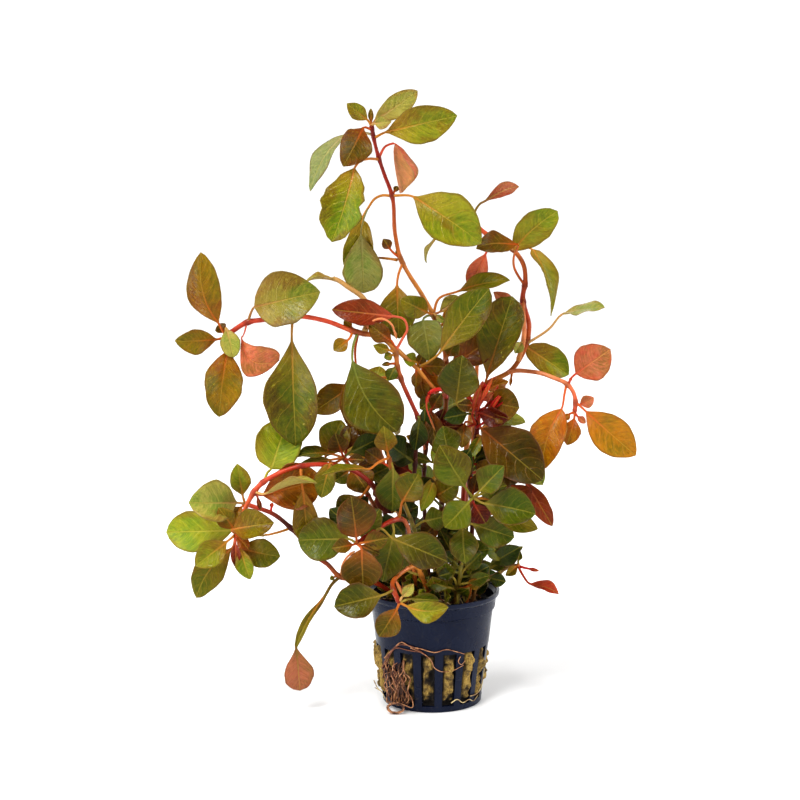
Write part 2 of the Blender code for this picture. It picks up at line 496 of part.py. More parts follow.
# Smaller leaves, one body with the stem that they grow on
SMALL_LEAVES = {
    "tall_stem": (
        Leaf([(-25.3, 239.5, -1), (-27, 242.3, -2)], (-35.6, 249.2, -6), 6.5),
        Leaf([(-25.2, 239, -1), (-23.5, 242.5, 1)], (-6, 254.6, 5), 7.5),
        Leaf([(-25.3, 240.2, -1), (-23.2, 240.6, -3)], (-17.5, 240.8, -7), 4.5),
        Leaf([(-22.3, 226.5, -1), (-19.2, 231.5, 1), (-15.2, 232.2, 2)], (-12.8, 212, 4), 16, -80, 0, 62),
        Leaf([(-13.2, 184.2, -2), (-17.5, 188, -3)], (-20.4, 192.3, -4), 4.4),
        Leaf([(0.5, 160.3, -1), (-1.5, 161.3, -7)], (-13.3, 167, -12), 10.5),
        Leaf([(0.6, 160.6, -1), (2.6, 167, 0), (11, 170.4, -1)], (32.6, 175.3, -3), 9, -40),
        Leaf([(5.6, 136.8, 1.6), (8, 138.8, -1)], (27, 151.5, 3), 13, -15),
        Leaf([(4.7, 106, 3), (6.5, 101, -8), (7.2, 100, -15)], (4.6, 113.6, -20), 13),
    ),
    "left_arch_stem": (
        Leaf([(-31, 153.2, -14.8), (-32.3, 145, -12), (-32, 140, -11)], (-29.5, 109.5, -12), 16),
        Leaf([(-13.2, 134, -12), (-22, 134, -8), (-33, 131, -6)], (-50, 119.6, -9), 12),
        Leaf([(-87, 151, -20), (-90.3, 150.2, -22)], (-107.9, 149.6, -28), 10.5),
        Leaf([(-33.2, 153.8, -15), (-35.2, 150, -18)], (-41.3, 145.6, -20), 6),
    ),
    "lower_left_upper_stem": (
        Leaf([(-82.4, 68.3, -33.5), (-84, 70, -37)], (-66.8, 72.5, -43), 11),
        Leaf([(-82.5, 68.2, -33.5), (-86, 65.4, -38)], (-99.4, 55, -43), 11),
        Leaf([(-82.4, 68.6, -33.5), (-79.2, 61, -35)], (-63.5, 60.2, -37), 10.5),
        Leaf([(-82.5, 68.2, -33.5), (-81, 62.5, -37)], (-77.6, 49.4, -40), 6.5),
        Leaf([(-74.6, 86.2, -35), (-70, 85.4, -38.5)], (-48.5, 90.2, -41), 9, -72),
        Leaf([(-55.2, 97, -34), (-54.6, 89, -36.5), (-53.6, 81, -36)], (-57, 64.5, -31), 10.5),
    ),
    "lower_left_lower_stem": (
        Leaf([(-78.5, 81.1, -25), (-79.5, 84.5, -26)], (-81.8, 97.8, -28), 8.5),
    ),
    "front_low_shoot": (
        Leaf([(-13.6, 39.6, -43), (-14.6, 37.3, -44)], (-22.2, 25.3, -46), 10.5),
        Leaf([(-13.4, 39.6, -43), (-11.2, 38.4, -44)], (6.8, 37.7, -47), 9, bend=0.1),
    ),
    "front_right_shoot": (
        Leaf([(17.2, 83.8, -24), (19.8, 86.3, -27)], (30, 97, -33), 11.5),
        Leaf([(17, 83.4, -24), (15.6, 82, -28)], (5.4, 71.2, -34), 13),
        Leaf([(14, 73, -18), (17, 72.6, -20)], (32.5, 66.3, -24), 11),
        Leaf([(13, 70, -17), (12.8, 71.5, -24)], (14, 56, -31), 12),
    ),
    "mid_shoot": (
        Leaf([(-18.2, 100.7, -28), (-18.6, 102.8, -29.5)], (-20.3, 113.6, -33), 9),
        Leaf([(-18.2, 100.5, -28), (-22.5, 98.5, -33), (-26.7, 95.7, -35)], (-44.3, 93.4, -43), 9, 72),
        Leaf([(-18, 100, -27.5), (-16.4, 96.5, -27)], (-16.5, 78, -25), 13),
    ),
    "mid_left_shoot": (
        Leaf([(-37, 100.4, -19.7), (-41.5, 98.4, -18), (-44.8, 100.8, -16.6)], (-38, 116.3, -13), 13),
        Leaf([(-37.3, 100.8, -20), (-37.8, 102.4, -21)], (-40.7, 110.4, -24), 8.5),
        Leaf([(-37, 100.3, -19.5), (-34.5, 102.8, -17)], (-21.5, 109, -14), 10),
        Leaf([(-37.2, 100.5, -20), (-42, 102.8, -22)], (-57.3, 101, -26), 8, 72),
    ),
    "right_high_stem": (
        Leaf([(38.9, 173, 10), (36, 177.2, 9), (34.3, 181.4, 5), (33.6, 187, 1), (33.8, 191, -1)],
             (19.4, 189.4, -5), 11, 45),
        Leaf([(40.6, 150, 10), (40.6, 146.5, 13)], (57.5, 135.3, 14), 11.5),
        Leaf([(29, 191.4, 7.7), (25, 190, 7), (22.7, 186.5, 7)], (15.5, 171.5, 8), 8.5),
        Leaf([(17.2, 199.8, 7), (18.8, 205.3, 7), (22, 208.9, 7)], (36.1, 214, 5), 8, -65),
    ),
    "right_side_stem": (
        Leaf([(59.9, 120, -1), (59.8, 117.3, -2)], (56.8, 105.8, -5), 8),
    ),
    "right_middle_shoot": (
        Leaf([(18.9, 124.6, -3), (23.5, 124.6, -6)], (36.3, 121.8, -10), 14),
        Leaf([(16.2, 94, 0), (28, 96, -2), (39, 91, -6)], (50.6, 71.8, -10), 8),
        Leaf([(16.2, 90, 0), (24, 92, -3), (31, 89, -6)], (43.5, 79.5, -9), 9),
    ),
    "rim_right_shoot": (
        Leaf([(36, 55.2, -6), (38.5, 51.5, -7), (41, 49.3, -8)], (53.3, 45.2, -9), 6.5, -35),
        Leaf([(31, 54.2, -6), (31.3, 56.6, -6.5)], (32.5, 64, -8), 7),
    ),
    "front_left_shoot": (
        Leaf([(-13.8, 74.6, -28.5), (-13.2, 78.5, -31), (-12.5, 82, -33)], (-5.8, 93.6, -36), 12.5),
    ),
    "low_shoot": (
        Leaf([(11.6, 50.5, -16.5), (16, 51, -17)], (24, 55, -15), 6),
        Leaf([(12, 52, -17), (9, 52.5, -19)], (2.6, 50.6, -22), 5.5),
    ),
    "back_left_shoot": (
        Leaf([(-25, 121.5, 27), (-24.6, 125, 29)], (-22, 143, 34), 13, -20),
        Leaf([(-25, 121, 27), (-27.5, 122, 30)], (-36, 128, 47), 13, 20),
        Leaf([(-24.5, 120, 26.5), (-22, 119, 31)], (-13, 114, 48), 12, -20),
        Leaf([(-21, 100, 22), (-25, 99, 23)], (-37, 106, 38), 11, 30),
        Leaf([(-14, 78, 15), (-17, 78, 20)], (-27, 80, 38), 12, 25),
    ),
    "back_right_shoot": (
        Leaf([(19, 141.5, 30), (17.6, 145, 31)], (12, 160, 38), 14, 20),
        Leaf([(19, 141, 30), (22, 142.5, 33)], (33, 152, 46), 14, -20),
        Leaf([(18.4, 130, 28), (22, 128, 33)], (31, 119, 50), 13, -20),
        Leaf([(18.3, 126, 27.5), (14, 125, 32)], (3, 120, 48), 13, 20),
        Leaf([(16, 98, 21), (19.5, 98, 25)], (32, 101, 36), 12, -25),
    ),
    "back_low_shoot": (
        Leaf([(8, 89.5, 32.6), (12, 92, 35)], (25, 100, 50), 13, -20),
        Leaf([(7.6, 88, 32), (3, 88, 35)], (-8, 92, 51), 12, 20),
        Leaf([(6, 78, 26.5), (11, 77, 31)], (22, 74, 46), 13, -20),
        Leaf([(7.9, 89.8, 33), (7, 94, 33)], (3, 108, 37), 12),
    ),
}
LARGE_STEPS, SMALL_STEPS = 4, 3
PLUG_TRIES = 5


def to_plug(points, radius):
    """A stem's points with its foot carried on down to just above the plug."""
    step = (points[0] - points[1]).normalized()
    tilted_cap = radius * math.sqrt(1 - step.z**2)
    foot = points[0]
    for _ in range(PLUG_TRIES):
        height = plug_height(math.hypot(foot.x, foot.y)) + GAP + tilted_cap
        foot = points[0] + step * (height - points[0].z) / step.z
    return [foot, *points]


def make_stems():
    for name, stem in STEMS.items():
        low, high = stem.radius
        points = [seen(point) for point in stem.points]
        if stem.rooted:
            points = to_plug(points, low)
        count = len(points)
        radii = [low + (high - low) * index / (count - 1) for index in range(count)]
        small = SMALL_LEAVES.get(name, ())
        body = tube(name, points, radii, STEM_RED, TOOLS if small else PLANT)
        grown = []
        for index, leaf in enumerate(small):
            leaf_name = f"{name}_leaf_{index + 1}"
            grown.append(leaf_solid(leaf_name, leaf, SMALL_STEPS, LEAF_GREEN, TOOLS, 0))
        if grown:
            joined(body, grown, STEM_RED)


def make_leaves():
    red = ("salmon", "orange", "red", "brown")
    for name, leaf in LEAVES.items():
        finish = LEAF_RED if any(word in name for word in red) else LEAF_GREEN
        leaf_solid(name, leaf, LARGE_STEPS, finish, PLANT, STALK_CLEAR)


make_pot()
make_plug()
make_roots()
make_stems()
make_leaves()
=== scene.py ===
# %% [markdown]
# # An aquarium plant in its net pot
# This lesson dresses a plain solid model of Ludwigia repens, a stem plant that is sold in a small
# slotted pot, until it can be rendered. The plain model gives each leaf and stem its place and its
# weight. Here each of them gets its real surface: thin blades with veins, round stalks, fibrous
# wool, fine roots and moulded plastic.
#
# The first cell loads the plain model, which stays where it is. All the new pieces are made around it.

import math
import random
from collections import namedtuple

import bmesh
import bpy
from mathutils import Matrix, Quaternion, Vector, noise


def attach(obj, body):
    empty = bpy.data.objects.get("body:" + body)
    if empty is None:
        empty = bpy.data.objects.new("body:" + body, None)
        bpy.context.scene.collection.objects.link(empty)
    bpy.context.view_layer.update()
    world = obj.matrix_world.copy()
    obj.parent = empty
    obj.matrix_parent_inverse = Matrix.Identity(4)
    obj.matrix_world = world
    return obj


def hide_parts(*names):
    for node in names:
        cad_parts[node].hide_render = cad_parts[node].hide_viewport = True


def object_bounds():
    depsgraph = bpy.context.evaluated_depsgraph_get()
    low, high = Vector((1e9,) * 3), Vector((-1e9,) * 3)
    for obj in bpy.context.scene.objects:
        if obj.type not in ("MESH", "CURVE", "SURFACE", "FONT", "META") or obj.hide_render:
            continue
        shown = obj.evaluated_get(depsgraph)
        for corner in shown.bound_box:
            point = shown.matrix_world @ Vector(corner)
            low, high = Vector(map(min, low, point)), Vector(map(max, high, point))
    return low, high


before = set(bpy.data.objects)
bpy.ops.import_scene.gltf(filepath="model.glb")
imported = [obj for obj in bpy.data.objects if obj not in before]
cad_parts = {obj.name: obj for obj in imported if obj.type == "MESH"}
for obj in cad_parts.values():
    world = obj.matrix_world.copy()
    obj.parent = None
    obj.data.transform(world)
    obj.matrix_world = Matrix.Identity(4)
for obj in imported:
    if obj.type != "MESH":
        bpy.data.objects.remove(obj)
CAD_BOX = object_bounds()
MM = 0.001
print("plain solids:", len(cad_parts))

# %% [markdown]
# The plant was measured on the photograph, so its points are kept as the eye sees them: millimetres
# across and up on an upright plane through the pot's axis, and a depth behind that plane. A ray from
# the eye through the point of the plane is followed to that depth. In this way every piece lines up
# with the photograph, and its depth is still free to choose.

# %% The eye, and the point that it sees
EYE_DISTANCE = 800.0
EYE_FALL = math.radians(9)
EYE_AIM = (-13.44, 124.74)
PICTURE_WIDTH = 336.0

EYE_AHEAD = Vector((0, math.cos(EYE_FALL), -math.sin(EYE_FALL)))
EYE_UP = Vector((0, math.sin(EYE_FALL), math.cos(EYE_FALL)))
AIM = Vector((EYE_AIM[0], 0, 0)) + EYE_AIM[1] * EYE_UP
EYE = AIM - EYE_DISTANCE * EYE_AHEAD


def seen(place):
    """The point in millimetres that the eye sees at (across, up) and that lies back behind the plane."""
    across, up, back = place
    through = Vector((across, 0, 0)) + up * EYE_UP
    return EYE + (through - EYE) * (back - EYE.y) / (through.y - EYE.y)


def as_seen(point):
    """The (across, up, back) of a point in millimetres: the inverse of seen."""
    ray = point - EYE
    through = EYE + ray * ((-EYE).dot(EYE_AHEAD) / ray.dot(EYE_AHEAD))
    return through.x, through.dot(EYE_UP), point.y


print("the eye is at", [round(value) for value in EYE], "mm")

# %% [markdown]
# The camera stands at that eye. Its angle of view is what the picture's width subtends at the plane.
# Leaving its shift at zero keeps the other views of the plant centred as well. The camera, the lamps
# and every mesh get into the scene in the same way, so that step is a helper.

# %% Camera
def placed(name, data):
    """A new object in the scene that holds the given camera, lamp or mesh."""
    made = bpy.data.objects.new(name, data)
    bpy.context.scene.collection.objects.link(made)
    return made


camera = placed("camera", bpy.data.cameras.new("camera"))
bpy.context.scene.camera = camera
camera.location = EYE * MM
camera.rotation_euler = (math.pi / 2 - EYE_FALL, 0, 0)
camera.data.angle = 2 * math.atan(PICTURE_WIDTH / 2 / EYE_DISTANCE)
camera.data.clip_start = 0.01
print("angle of view:", round(math.degrees(camera.data.angle), 1), "degrees")

# %% [markdown]
# A product photograph of a plant uses a broad soft light from above and in front, which makes the
# upper sides of the leaves glow, and one on each side, which draw the two pale streaks on the pot. A
# fainter one behind keeps the far side from going dark. A sun lamp with a very wide disc gives the
# broad light: unlike an area lamp it is as strong on the far floor as on the near one, so the floor
# stays evenly white. The standard view keeps the colours as saturated as the photograph has them.

# %% Lights
LIGHTS = (
    ("left_softbox", (-0.8, -0.3, 0.35), (0.35, 0.9), 6.0),
    ("right_softbox", (0.85, -0.2, 0.3), (0.3, 0.9), 6.0),
    ("back_softbox", (0.1, 0.9, 0.6), (0.8, 0.6), 2.0),
)
KEY_FROM = Vector((-0.3, -0.5, 0.85))
KEY_STRENGTH, KEY_DISC = 2.6, math.radians(20)
for name, place, size, watts in LIGHTS:
    lamp = bpy.data.lights.new(name, "AREA")
    lamp.shape = "RECTANGLE"
    lamp.size, lamp.size_y = size
    lamp.energy = watts
    lit = placed(name, lamp)
    lit.location = place
    lit.rotation_euler = (AIM * MM - Vector(place)).to_track_quat("-Z", "Y").to_euler()

key = placed("key", bpy.data.lights.new("key", "SUN"))
key.data.energy = KEY_STRENGTH
key.data.angle = KEY_DISC
key.rotation_euler = (-KEY_FROM).to_track_quat("-Z", "Y").to_euler()
bpy.context.scene.view_settings.view_transform = "Standard"
bpy.context.scene.view_settings.look = "Medium High Contrast"
print("lights:", len(LIGHTS) + 1)

# %% [markdown]
# Every finish is a small network of shader nodes. These helpers add a node and link it in one line,
# so that the finishes below read like recipes: `add` makes any node, `calc` does arithmetic, `mix`
# blends two colours, `dyed` multiplies one by another, and `step_up` and `step_down` turn a value
# into a soft step. `emboss` lets a height stand out of the surface.

# %% Helpers for finishes
def srgb(red, green, blue):
    """A colour as picture editors give it, from 0 to 255, in the linear light that shaders use."""
    parts = [value / 255 for value in (red, green, blue)]
    return (*[part / 12.92 if part < 0.04 else ((part + 0.055) / 1.055) ** 2.4 for part in parts], 1)


def add(tree, kind, inputs=None, **settings):
    made = tree.nodes.new("ShaderNode" + kind)
    for name, value in settings.items():
        setattr(made, name, value)
    for socket, value in (inputs or {}).items():
        if isinstance(value, bpy.types.NodeSocket):
            tree.links.new(value, made.inputs[socket])
        else:
            made.inputs[socket].default_value = value
    return made.outputs


def noisy(tree, place, scale, detail, roughness=0.5, distortion=0.0):
    inputs = {"Vector": place, "Scale": scale, "Detail": detail, "Roughness": roughness}
    return add(tree, "TexNoise", {**inputs, "Distortion": distortion})[0]


def known(tree, name, output):
    """What the mesh carries for each of its points under this name."""
    return add(tree, "Attribute", attribute_name=name)[output]


def calc(tree, operation, *values):
    return add(tree, "Math", dict(enumerate(values)), operation=operation)[0]


def times(tree, first, second):
    return calc(tree, "MULTIPLY", first, second)


def mix(tree, weight, first, second, kind="MIX"):
    inputs = {"Factor": weight, 6: first, 7: second}
    return add(tree, "Mix", inputs, data_type="RGBA", blend_type=kind)[2]


def dyed(tree, colour, red, green, blue):
    return mix(tree, 1.0, colour, (red, green, blue, 1), "MULTIPLY")


def step_up(tree, value, low, high):
    inputs = {"Value": value, "From Min": low, "From Max": high}
    return add(tree, "MapRange", inputs, interpolation_type="SMOOTHSTEP")[0]


def step_down(tree, value, low, high):
    return calc(tree, "SUBTRACT", 1.0, step_up(tree, value, low, high))


def finish(name, roughness, specular=0.5):
    """A new finish, its node tree, its shader and the coordinates of its object.

    Some finishes link a gloss of their own. The plain roughness stays for viewers without nodes."""
    made = bpy.data.materials.new(name)
    made.use_nodes = True
    shader = made.node_tree.nodes["Principled BSDF"]
    shader.inputs["Roughness"].default_value = roughness
    shader.inputs["Specular IOR Level"].default_value = specular
    return made, made.node_tree, shader, add(made.node_tree, "TexCoord")["Object"]


def emboss(tree, shader, height, depth):
    """Lets a height from 0 to 1 stand out of a surface by depth, in metres."""
    bump = add(tree, "Bump", {"Height": height, "Distance": depth, "Strength": 1.0})[0]
    tree.links.new(bump, shader.inputs["Normal"])


print("finish helpers are ready")

# %% [markdown]
# The plant stands in a white studio. The world is bright at the horizon, where it meets the floor,
# and dimmer overhead, which leaves some shade between the leaves. The floor is a wide pale disc that
# lies just below the pot's foot, so that the two don't touch. It is only a stage for the picture.

# %% World and floor
HORIZON_GLOW, OVERHEAD_GLOW = 0.97, 0.28
FLOOR_RADIUS, FLOOR_GAP = 12.0, 0.0002


def make_world():
    world = bpy.data.worlds.new("white_studio")
    world.use_nodes = True
    tree = world.node_tree
    height = add(tree, "SeparateXYZ", {0: add(tree, "TexCoord")["Generated"]})[2]
    above = step_up(tree, height, 0.1, 0.7)
    glow = calc(tree, "MULTIPLY_ADD", above, OVERHEAD_GLOW - HORIZON_GLOW, HORIZON_GLOW)
    tree.nodes["Background"].inputs["Color"].default_value = (1, 1, 1, 1)
    tree.links.new(glow, tree.nodes["Background"].inputs["Strength"])
    bpy.context.scene.world = world


def floor_finish():
    made, tree, shader, place = finish("pale_floor", 0.55)
    cloud = noisy(tree, place, 9.0, 3.0)
    tree.links.new(mix(tree, cloud, (0.9, 0.9, 0.9, 1), (0.92, 0.92, 0.92, 1)), shader.inputs["Base Color"])
    return made


def from_bmesh(name, bm, used):
    """Turns an edit mesh into an object of the scene with the given finish."""
    mesh = bpy.data.meshes.new(name)
    bm.to_mesh(mesh)
    bm.free()
    mesh.materials.append(used)
    return placed(name, mesh)


def make_floor():
    bm = bmesh.new()
    bmesh.ops.create_circle(bm, cap_ends=True, segments=128, radius=FLOOR_RADIUS)
    floor = from_bmesh("floor", bm, floor_finish())
    floor.location.z = CAD_BOX[0][2] - FLOOR_GAP
    return floor


make_world()
print("floor:", make_floor().name)

# %% [markdown]
# ## Leaf finish
# A leaf of this plant is olive green to red with a pale midrib, six or so pairs of side veins that
# bend towards the tip, and a faint net of veinlets. A painted picture could show that, but it would
# be the same on every leaf. Here the mesh of each leaf carries three facts for each of its points:
# where it lies on the blade, the leaf's own colour, and the colour that flushes its foot and midrib.
# The veins are worked out from the place on the blade, so they follow every bend.

# %% Where a leaf's veins are
VEIN_PAIRS = 6.5
VEIN_LEAN = (0.17, 0.13)
VEIN_STAGGER = 0.35
Veins = namedtuple("Veins", "side along half across start near fade rib vein net")


def leaf_veins(tree, place):
    """The place on the blade, and how much of the midrib, of a side vein and of the net is there."""
    side, along, half = add(tree, "SeparateXYZ", {0: known(tree, "blade", "Vector")})
    across = calc(tree, "ABSOLUTE", side)
    rib_edge = calc(tree, "MULTIPLY_ADD", along, -0.35, 0.6)
    rib = step_down(tree, calc(tree, "DIVIDE", times(tree, across, half), rib_edge), 0.45, 1.0)

    lean = calc(tree, "MULTIPLY_ADD", across, VEIN_LEAN[1], VEIN_LEAN[0])
    start = calc(tree, "SUBTRACT", along, times(tree, across, lean))
    other = times(tree, calc(tree, "GREATER_THAN", side, 0.0), VEIN_STAGGER)
    shift = calc(tree, "MULTIPLY_ADD", noisy(tree, place, 130.0, 3.0), 0.8, other)
    beat = calc(tree, "MULTIPLY_ADD", start, VEIN_PAIRS, shift)
    near = calc(tree, "ABSOLUTE", calc(tree, "SUBTRACT", calc(tree, "FRACT", beat), 0.5))
    fade = step_down(tree, across, 0.6, 1.0)
    vein = times(tree, step_down(tree, near, 0.0, 0.09), fade)
    net = add(tree, "TexVoronoi", {"Vector": place, "Scale": 620.0}, feature="DISTANCE_TO_EDGE")[0]
    return Veins(side, along, half, across, start, near, fade, rib, vein, step_down(tree, net, 0.0, 0.16))


print("pairs of side veins:", VEIN_PAIRS)

# %% [markdown]
# The blade's colour is laid on in thin coats over the leaf's own tint: lush green clouds, ruddy
# patches towards the margin, painted shade on the quilted skin between the veins, streaks along the
# veins of painted gloss highlight and painted shade, and a warm flush at the foot. The pale veins, the
# midrib and a dark hairline at the margin come last. The underside is paler, and its veins stand out
# where the upper side has grooves.

# %% Leaf finishes, upper side and underside
def leaf_colour(tree, place, at, cloud):
    tint, flush = known(tree, "tint", "Color"), known(tree, "flush", "Color")
    colour = mix(tree, times(tree, cloud, 0.85), tint, dyed(tree, tint, 0.5, 0.8, 0.4))
    patch = noisy(tree, place, 62.0, 5.0, distortion=0.6)
    patch = calc(tree, "MULTIPLY_ADD", step_up(tree, at.across, 0.3, 1.0), 0.1, patch)
    ruddy = dyed(tree, tint, 0.78, 0.42, 0.4)
    colour = mix(tree, times(tree, step_up(tree, patch, 0.52, 0.68), 0.75), colour, ruddy)
    # Painted shade: the quilted skin between the side veins is darkened, as its relief would be shaded.
    between = times(tree, times(tree, step_up(tree, at.near, 0.1, 0.5), at.fade), 0.3)
    colour = mix(tree, between, colour, dyed(tree, colour, 0.7, 0.7, 0.7))

    # Painted highlight and painted shade: the lighter streaks stand in for gloss along the veins.
    run = {0: times(tree, at.start, 26.0), 1: times(tree, at.side, 2.5), 2: at.half}
    gloss_and_shade_streak = noisy(tree, add(tree, "CombineXYZ", run)[0], 1.0, 4.0, 0.6)
    light = times(tree, step_up(tree, gloss_and_shade_streak, 0.5, 0.7), 0.55)
    colour = mix(tree, light, colour, dyed(tree, tint, 1.3, 1.3, 1.3))
    # Painted shade: the darker streaks that go with the painted gloss.
    shade = times(tree, step_down(tree, gloss_and_shade_streak, 0.3, 0.5), 0.75)
    colour = mix(tree, shade, colour, dyed(tree, colour, 0.55, 0.6, 0.5))
    warm = calc(tree, "POWER", step_down(tree, at.along, -0.1, 0.75), 2.0)
    colour = mix(tree, times(tree, warm, 0.45), colour, flush)

    pale = mix(tree, 0.35, tint, (0.42, 0.34, 0.05, 1))
    colour = mix(tree, times(tree, at.net, 0.05), colour, pale)
    colour = mix(tree, times(tree, at.vein, 0.26), colour, mix(tree, 0.5, pale, flush))
    rib_colour = mix(tree, step_up(tree, at.along, 0.0, 0.8), flush, pale)
    colour = mix(tree, times(tree, at.rib, 0.7), colour, rib_colour)
    edge = times(tree, step_up(tree, at.across, 0.84, 0.98), step_up(tree, at.along, 0.03, 0.1))
    colour = mix(tree, times(tree, edge, 0.8), colour, mix(tree, 0.7, tint, (0.08, 0.02, 0.01, 1)))
    return mix(tree, calc(tree, "LESS_THAN", at.along, 0.0), colour, flush)


def leaf_finish(name, under):
    made, tree, shader, place = finish(name, 0.55 if under else 0.4, specular=0.15)
    at = leaf_veins(tree, place)
    cloud = step_up(tree, noisy(tree, place, 95.0, 4.0, 0.6), 0.4, 0.64)
    colour = leaf_colour(tree, place, at, cloud)
    if under:
        colour = mix(tree, 0.3, colour, (0.42, 0.26, 0.1, 1))
    tree.links.new(colour, shader.inputs["Base Color"])

    height = calc(tree, "MULTIPLY_ADD", noisy(tree, place, 900.0, 2.0), 0.25, times(tree, at.net, 0.15))
    raised = calc(tree, "MULTIPLY_ADD", at.vein, 0.5, at.rib)
    height = calc(tree, "MULTIPLY_ADD", raised, 0.9 if under else -0.7, height)
    emboss(tree, shader, height, 0.00022)
    gloss = calc(tree, "MULTIPLY_ADD", cloud, 0.14, 0.5 if under else 0.27)
    tree.links.new(gloss, shader.inputs["Roughness"])
    shader.inputs["Subsurface Weight"].default_value = 0.2
    shader.inputs["Subsurface Radius"].default_value = (1.0, 1.0, 0.3)
    shader.inputs["Subsurface Scale"].default_value = 0.0008
    return made


LEAF_UPPER = leaf_finish("leaf_upper_side", False)
LEAF_UNDER = leaf_finish("leaf_underside", True)
print("leaf finishes:", LEAF_UPPER.name, LEAF_UNDER.name)

# %% [markdown]
# ## Stem finish
# Stems are smooth, juicy and faintly ribbed lengthwise, crimson where the light reaches them and
# orange to brown lower down, with a darker ring at each node. Their colours change along the stem, so
# the mesh carries them as it does for the leaves. The finish adds darker clouds, pale specks and a
# soft gloss.

# %% Stem finish
def stem_finish():
    made, tree, shader, place = finish("stem_skin", 0.34, specular=0.25)
    tint = known(tree, "tint", "Color")
    cloud = noisy(tree, place, 260.0, 4.0)
    dark = dyed(tree, tint, 0.5, 0.36, 0.3)
    colour = mix(tree, times(tree, step_up(tree, cloud, 0.42, 0.7), 0.55), tint, dark)
    speck = step_down(tree, add(tree, "TexVoronoi", {"Vector": place, "Scale": 700.0})[0], 0.1, 0.2)
    light = mix(tree, 0.5, tint, (0.7, 0.36, 0.12, 1))
    tree.links.new(mix(tree, times(tree, speck, 0.4), colour, light), shader.inputs["Base Color"])
    emboss(tree, shader, calc(tree, "MULTIPLY_ADD", cloud, 0.6, speck), 0.00012)
    return made


STEM_SKIN = stem_finish()
print("stem finish:", STEM_SKIN.name)

# %% [markdown]
# ## Colours of the foliage
# The older leaves in the shade are dark olive and brown, the young ones at the ends of the shoots
# orange and salmon, and those low in the bunch bright green. A short list of named pairs keeps the
# whole plant in one family: the blade's colour, and the flush of its stalk, foot and midrib. A stem
# has only one. The colours were judged with the light on them, so the light's share is taken out of
# them again.

# %% Named colours
LIGHT_SHARE = 0.8
# The darkest hues, dark_green above all, are partly painted shade: they go mostly to small leaves deep in
# the bunch.
LEAF_HUES = """
olive 136 134 28, 196 128 48
olive_mid 119 105 15, 190 112 42
olive_dark 92 86 6, 180 104 40
dark_olive 76 74 4, 150 124 48
moss 92 86 8, 122 128 52
rust 124 66 20, 176 90 40
deep_green 78 86 8, 150 128 52
olive_orange 140 106 14, 200 104 36
lime 124 128 14, 188 116 54
bright 146 148 28, 184 170 66
pale 164 156 74, 198 152 92
silver 128 132 80, 176 156 110
sage 156 154 82, 138 130 76
leafy 98 100 8, 146 138 50
fern 98 94 8, 174 124 50
bronze 88 62 6, 180 92 40
umber 76 60 6, 176 92 36
green 88 92 12, 160 140 60
grey_green 150 150 62, 172 104 62
dull_green 132 124 46, 160 112 60
blue_green 112 106 40, 136 136 72
dark_green 50 62 9, 110 104 34
brown 112 78 10, 192 88 34
dark_brown 88 58 7, 176 66 28
brown_olive 110 82 10, 196 108 40
maroon 92 24 14, 170 52 36
orange_brown 150 88 14, 204 92 36
orange 172 114 18, 208 98 44
salmon 196 110 78, 206 84 58
ember 176 66 40, 190 70 40
trailing 166 98 70, 126 100 40
red 130 50 18, 214 104 76
crimson 196 34 34, 206 46 40
"""
STEM_HUES = """
wine 146 34 14
ruby 176 56 32
scarlet 214 84 54
golden 200 132 58
stem_orange 180 98 34
stem_salmon 228 142 94
stem_brown 122 72 22
stem_dark 80 26 8
stem_pale 152 142 56
stem_tan 166 134 80
"""


def under_light(numbers):
    """A colour as it looks in the studio, with the studio's light taken out of it again."""
    return (*[part * LIGHT_SHARE for part in srgb(*[float(number) for number in numbers.split()])[:3]], 1)


HUES = {}
for row in (LEAF_HUES + STEM_HUES).split("\n"):
    hue, _, colours = row.partition(" ")
    if hue:
        colours = [under_light(numbers) for numbers in colours.split(",")]
        HUES[hue] = (colours[0], colours[-1])
print("named colours:", len(HUES))

# %% [markdown]
# ## One skin for everything that grows
# A stalk that widens into a blade is one continuous skin. Sweeping a ring of points along a path
# gives that: the ring is round on the stalk and flattens to a thin lens on the blade. It needs a
# smooth path through a few given points, and side directions that are carried along the path
# without twisting. For a plain tube, such as a stem or a root, two more helpers give those directions
# from any start, and a round ring.

# %% Smooth paths and carried directions
def smooth_path(points, gap):
    """Points about gap apart on a smooth curve through the given ones."""
    spans = [(far - near).length for near, far in zip(points, points[1:])]
    steps = [(far - near) / span for near, far, span in zip(points, points[1:], spans)]
    headings = [steps[0]]
    for before, after, span, next_span in zip(steps, steps[1:], spans, spans[1:]):
        headings.append((before * next_span + after * span) / (span + next_span))
    headings.append(steps[-1])
    path = []
    for near, far, span, leave, arrive in zip(points, points[1:], spans, headings, headings[1:]):
        count = max(2, round(span / gap))
        for index in range(count):
            t = index / count
            curve = near * (2 * t**3 - 3 * t**2 + 1) + far * (3 * t**2 - 2 * t**3)
            curve += (leave * (t**3 - 2 * t**2 + t) + arrive * (t**3 - t**2)) * span
            path.append(curve)
    path.append(points[-1])
    return path


def carried(path, side, face):
    """The side and face directions at each point, turned along with the path from its first point."""
    made = [(side, face)]
    ahead = path[1] - path[0]
    for near, far in zip(path[1:], path[2:]):
        turn = ahead.rotation_difference(far - near)
        ahead = far - near
        side, face = turn @ side, turn @ face
        made.append((side, face))
    made.append((side, face))
    return made


def around_tube(path):
    """Carried directions for a round tube, which may start at any turn."""
    side = (path[1] - path[0]).orthogonal().normalized()
    return carried(path, side, (path[1] - path[0]).normalized().cross(side))


def round_ring(point, side, face, radius, count, ribs=0.0):
    """A ring of points around a point of a path, with five faint ribs if wanted."""
    ring = []
    for step in range(count):
        angle = 2 * math.pi * step / count
        out = radius * (1 + ribs * math.cos(5 * angle))
        ring.append(point + (side * math.cos(angle) + face * math.sin(angle)) * out)
    return ring


